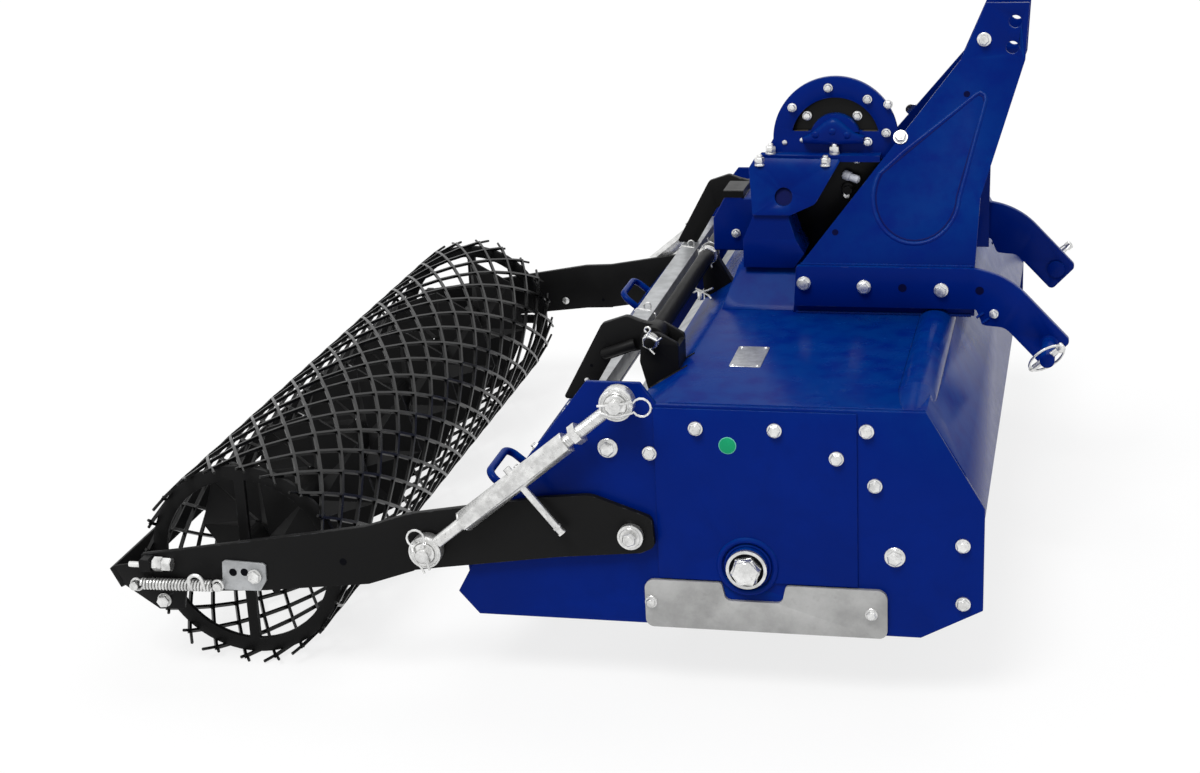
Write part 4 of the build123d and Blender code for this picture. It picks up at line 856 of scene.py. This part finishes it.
# --- Roller arms, scraper springs and turnbuckles -----------------------------------------------
def arm_end(side):
    """Spring, shackle, adjusters and hole plate on the outer face of an arm's rear end."""
    out = ACROSS * side
    plate = Piece("arm_hole_plate_" + HAND[side], GALVANISED, "arms", "zinc_plate")
    outline = [(-775, 186), (-771, 189), (-711, 187), (-707, 184), (-708, 160), (-719, 143), (-775, 142),
               (-778, 146)]
    centred = [(x + 742, z - 168) for x, z in outline]
    plate.plate(centred, spot(side, -742, ARM_FACE, 168), FORWARD, UP, out, 4.0, 0.6)
    plate.done()
    holes = Piece("arm_holes_" + HAND[side], HOLE, "arms", "black_paint")
    for x, z in ((-759, 171), (-741, 172)):
        rose(holes, spot(side, x, ARM_FACE + 4, z), out, 6.0)
    rose(holes, spot(side, -587, ARM_FACE, 195), out, 5.5)
    rose(holes, spot(side, -511, 669, 186), -out, 3.0)
    holes.done()
    zinc = Piece("arm_spring_" + HAND[side], ZINC, "arms", "zinc_plate")
    zinc.bolt(spot(side, -725, ARM_FACE + 4, 167), out, 17, 8, 10.5, 0.4)
    zinc.turned(spot(side, -595, 690, 176), -out, [(7.5, 0), (7, 1.5), (4, 2.6)], 24)
    axis_y = ARM_FACE + 12
    coil = []
    coil_r = 7.4
    turns = 22
    steps = 14                # to a turn
    for k in range(turns * steps + 1):
        share = k / (turns * steps)
        angle = 2 * math.pi * k / steps
        coil.append(spot(side, -902 + 112 * share, axis_y + coil_r * math.cos(angle),
                         149 + 2 * share + coil_r * math.sin(angle)))
    zinc.tube(coil, 1.9, 8)
    zinc.tube(arc(spot(side, -911, axis_y, 147), FORWARD, UP, 9, 20, 340, 20), 1.9, 8)
    zinc.tube(arc(spot(side, -782, axis_y, 152), FORWARD, UP, 8, -160, 160, 20), 1.9, 8)
    for x, z in ((-780, 152), (-913, 147)):
        zinc.turned(spot(side, x, ARM_FACE, z), out, [(4.5, 0), (4.5, 18), (6.5, 18.5), (6.5, 21)], 18)
    shackle = [spot(side, -823, axis_y + 4, 146)]
    shackle += arc(spot(side, -812, axis_y + 10, 160), -FORWARD, UP, 11, 0, 180, 14)
    shackle.append(spot(side, -801, axis_y + 4, 146))
    zinc.tube(shackle, 2.9, 10)
    zinc.turned(spot(side, -921, ARM_FACE + 9, 178), FORWARD, [(4, 0), (4.4, 1), (4.4, 66), (4, 68)], 18)
    for x, height, spin in ((-881, 13, 0.2), (-866, 12, 0.6)):
        profile = [(10.4, 0), (10.8, 1.5), (10.8, height), (9.4, height + 1.5)]
        zinc.turned(spot(side, x, ARM_FACE + 9, 180.5), FORWARD, profile, 6, spin)
    scraper = spot(side, -880, 690, 114)
    zinc.turned(scraper, out, [(11, -0.2), (11, 2)], 28)
    zinc.turned(scraper, out, [(9.4, 2), (9.8, 3), (9.8, 9), (8.2, 10.4)], 6, 0.1)
    zinc.done()
    lug = Piece("arm_lug_" + HAND[side], BLACK, "arms", "black_paint")
    outline = [(-9, -9), (9, -9), (9, 7), (6, 10), (-6, 10), (-9, 7)]
    lug.plate(outline, spot(side, -893, ARM_FACE, 180), FORWARD, UP, out, 18.0, 1.0)
    for x, z in ((-700, 143), (-870, 132)):
        lug.turned(spot(side, x, 690.5, z - 3), -out, [(6, 0), (6, 4), (5, 5)], 18)
    lug.done()


EYE_HALF = 10.0           # half the thickness of a turnbuckle's eye
THREAD_TOP = 9.55         # radii of its thread, and half its pitch
THREAD_ROOT = 8.8
THREAD_STEP = 1.6


def eye_rings(piece, side, x, z):
    """Machined rings of a ball-joint eye, on both of its faces."""
    for hand in (-1, 1):
        for radius, lift in ((22.0, -0.4), (17.6, 0.0), (14.2, 0.5)):
            place = spot(side, x, BUCKLE_Y - hand * (EYE_HALF + lift), z)
            piece.tube(circle(place, FORWARD, UP, radius, 45), 1.5, 8, True)


def pin_clip(side, high, body, along, across, length):
    """Washer and spring clip on one pin of a turnbuckle."""
    x, z = BUCKLE_HIGH if high else BUCKLE_LOW
    clip = Piece("pin_clip_" + ("high_" if high else "low_") + HAND[side], BRIGHT, body, "bright_steel")
    r_clip(clip, spot(side, x, BUCKLE_Y + 19.5, z), along.normalized(), across.normalized(), length)
    clip.turned(spot(side, x, BUCKLE_Y + 11, z), ACROSS * side,
                [(15.0, 0), (15.4, 0.5), (15.4, 2.2), (14.8, 2.8)], 32)
    clip.done()


def turnbuckle(side):
    out = ACROSS * side
    high = spot(side, BUCKLE_HIGH[0], BUCKLE_Y, BUCKLE_HIGH[1])
    low = spot(side, BUCKLE_LOW[0], BUCKLE_Y, BUCKLE_LOW[1])
    along = (low - high).normalized()
    upper = Piece("buckle_trim_" + HAND[side], ZINC, "buckle_" + HAND[side], "zinc_plate")
    eye_rings(upper, side, *BUCKLE_HIGH)

    for first, last in ((24, 69.5), (82.5, 94.5)):
        profile = []
        steps = int((last - first) / THREAD_STEP)
        for k in range(steps + 1):
            radius = THREAD_TOP if k % 2 else THREAD_ROOT
            profile.append((radius, first + (last - first) * k / steps))
        upper.turned(high, along, profile, 18)
    for first, last in ((95.2, 98.0), (297.0, 299.8)):
        upper.turned(high, along, [(14.2, first), (14.9, first + 0.6), (14.9, last - 0.6), (14.2, last)], 28)
    down = along.cross(out)
    if down.z > 0:
        down = -down
    tommy = high + along * 193 * MM
    for first, last in ((86, 90), (97, 100.4)):
        upper.turned(tommy, down, [(5.2, first), (6.6, first + 0.4), (6.6, last - 0.4), (5.2, last)], 20)
    seam = high + down * 13.6 * MM
    upper.bead(seam + along * 186 * MM, seam + along * 200 * MM, 2.2, 3.0)
    upper.done()
    lower = Piece("buckle_rod_trim_" + HAND[side], ZINC, "buckle_rod_" + HAND[side], "zinc_plate")
    eye_rings(lower, side, *BUCKLE_LOW)
    lower.done()
    pin_clip(side, True, "frame", Vector((1, 0, 0.04)), Vector((-0.04, 0, 1)), 62.0)
    pin_clip(side, False, "arms", Vector((-0.30, 0, 0.95)), Vector((0.95, 0, 0.30)), 44.0)


# --- Roller -----------------------------------------------------------------------------------
def mesh_ends():
    """Cut ends of the mesh wires that stand out past the roller's end rings."""
    stubs = Piece("mesh_wire_ends", MESH_BLACK, "roller", "black_paint")
    wire = 2.4
    radius = ROLLER_R - wire
    facet = 2 * math.pi / MESH_SIDES
    for side in (-1, 1):
        for k in range(MESH_SIDES // 2):
            turn = (2 * k + 0.5) * facet
            for hand in (-1, 1):
                reach = 17 + 8 * math.sin(k * 2.4 + side + hand)
                points = []
                for share in (0.0, 0.5, 1.0):
                    angle = turn + hand * facet * share * reach / 40
                    points.append(spot(side, ROLLER_X + radius * math.sin(angle),
                                       MESH_HALF - 4 + reach * share,
                                       ROLLER_Z + radius * math.cos(angle)))
                stubs.tube(points, wire, 6)
    stubs.done()


# --- Rotor ------------------------------------------------------------------------------------
def tine_bolts():
    """Two bolts through each tine and its flange."""
    steel = Piece("tine_bolts", TINE, "rotor", "wear_steel")
    flanges = 7
    pitch = 180
    middle = flanges // 2
    for i in range(flanges):
        y = (i - middle) * pitch
        phase = abs(i - middle) / middle * 45
        for k in range(4):
            hand = 1 if k % 2 == 0 else -1
            if abs(i - middle) == middle:          # an end flange has all its tines on the inside
                hand = 1 if i < middle else -1
            turn = math.radians(phase + 90 * k)
            for reach in (68, 92):
                x = -reach * math.sin(turn)
                z = ROTOR_Z - reach * math.cos(turn)
                out = ACROSS * hand
                head = at(x, y + hand * 16, z)
                nut = at(x, y - hand * 6, z)
                steel.turned(head, out, [(12.4, 0), (12.4, 7), (10.8, 8.4)], 6, turn)
                steel.turned(nut, -out, [(12.4, 0), (12.4, 9), (10.8, 10)], 6, turn)
                steel.turned(nut, -out, [(7, 10), (7, 15), (6, 16)], 14)
    steel.done()


for half in (-1, 1):
    side_fasteners(half)
    mast_details(half)
    hitch_pin_ring(half)
    arm_end(half)
    turnbuckle(half)
hub()
green_disc()
deck_details()
case_details()
gearbox_details()
spline_shaft()
guard_ribs()
board_details()
hinge_details()
mesh_ends()
tine_bolts()


# --- Camera, light and floor ------------------------------------------------------------------
def camera():
    """The photograph's view, as fitted to the side plates and the headstock."""
    data = bpy.data.cameras.new("camera")
    data.sensor_width = 36.0
    data.lens = 64.0
    view = bpy.data.objects.new("camera", data)
    bpy.context.collection.objects.link(view)
    turn = (Matrix.Rotation(math.radians(13.79), 4, "Z") @ Matrix.Rotation(math.radians(71.28), 4, "X")
            @ Matrix.Rotation(math.radians(-2.77), 4, "Z"))
    view.matrix_world = Matrix.Translation((0.733, -3.384, 1.413)) @ turn
    bpy.context.scene.camera = view


AMBIENT = 0.42            # strength of the world's light on the object
FLOOR_GLOW = 0.80         # share of plain white in the floor as it is seen
FLOOR_GAP = 0.0005        # metres below the object


def seen_rays(n):
    """1 for rays that show the surroundings themselves: camera, glossy and transmission rays."""
    path = n.add("ShaderNodeLightPath")
    seen = n.math("MAXIMUM", path.outputs["Is Camera Ray"], path.outputs["Is Glossy Ray"])
    return n.math("MAXIMUM", seen, path.outputs["Is Transmission Ray"])


class WorldNodes(Nodes):
    """The same helper on the node tree of a world."""

    def __init__(self, world):
        self.tree = world.node_tree


def sun(name, toward, strength, spread):
    """Large soft lamp far away in the direction toward."""
    data = bpy.data.lights.new(name, "SUN")
    data.energy = strength
    data.angle = math.radians(spread)
    lamp = bpy.data.objects.new(name, data)
    bpy.context.collection.objects.link(lamp)
    lamp.rotation_euler = Vector(toward).to_track_quat("Z", "Y").to_euler()


def studio():
    world = bpy.data.worlds.new("studio")
    bpy.context.scene.world = world
    world.use_nodes = True
    background = world.node_tree.nodes["Background"]
    background.inputs["Color"].default_value = (1, 1, 1, 1)
    n = WorldNodes(world)
    n.link(n.between(seen_rays(n), AMBIENT, 1.0), background.inputs["Strength"])
    sun("key", (-0.25, -0.65, 1.1), 2.2, 25.0)
    sun("top", (0.2, 0.9, 1.6), 0.6, 35.0)


def floor():
    """Pale floor that shows as white around the object's shadow."""
    bm = bmesh.new()
    bmesh.ops.create_grid(bm, x_segments=2, y_segments=2, size=30.0)
    data = bpy.data.meshes.new("floor")
    bm.to_mesh(data)
    bm.free()
    ground = bpy.data.objects.new("floor", data)
    bpy.context.collection.objects.link(ground)
    ground.location.z = CAD_BOX[0][2] - FLOOR_GAP
    n = Nodes("floor_card")
    n.shader.inputs["Base Color"].default_value = (0.90, 0.90, 0.90, 1)
    n.shader.inputs["Roughness"].default_value = 0.9
    n.shader.inputs["Specular IOR Level"].default_value = 0.1
    glow = n.add("ShaderNodeEmission")
    glow.inputs["Color"].default_value = (1, 1, 1, 1)
    blend = n.add("ShaderNodeMixShader")
    n.link(n.math("MULTIPLY", seen_rays(n), FLOOR_GLOW), blend.inputs["Fac"])
    n.link(n.shader.outputs["BSDF"], blend.inputs[1])
    n.link(glow.outputs["Emission"], blend.inputs[2])
    n.link(blend.outputs["Shader"], n.tree.nodes["Material Output"].inputs["Surface"])
    data.materials.append(n.material)


bpy.context.scene.view_settings.view_transform = "Standard"
camera()
studio()
floor()
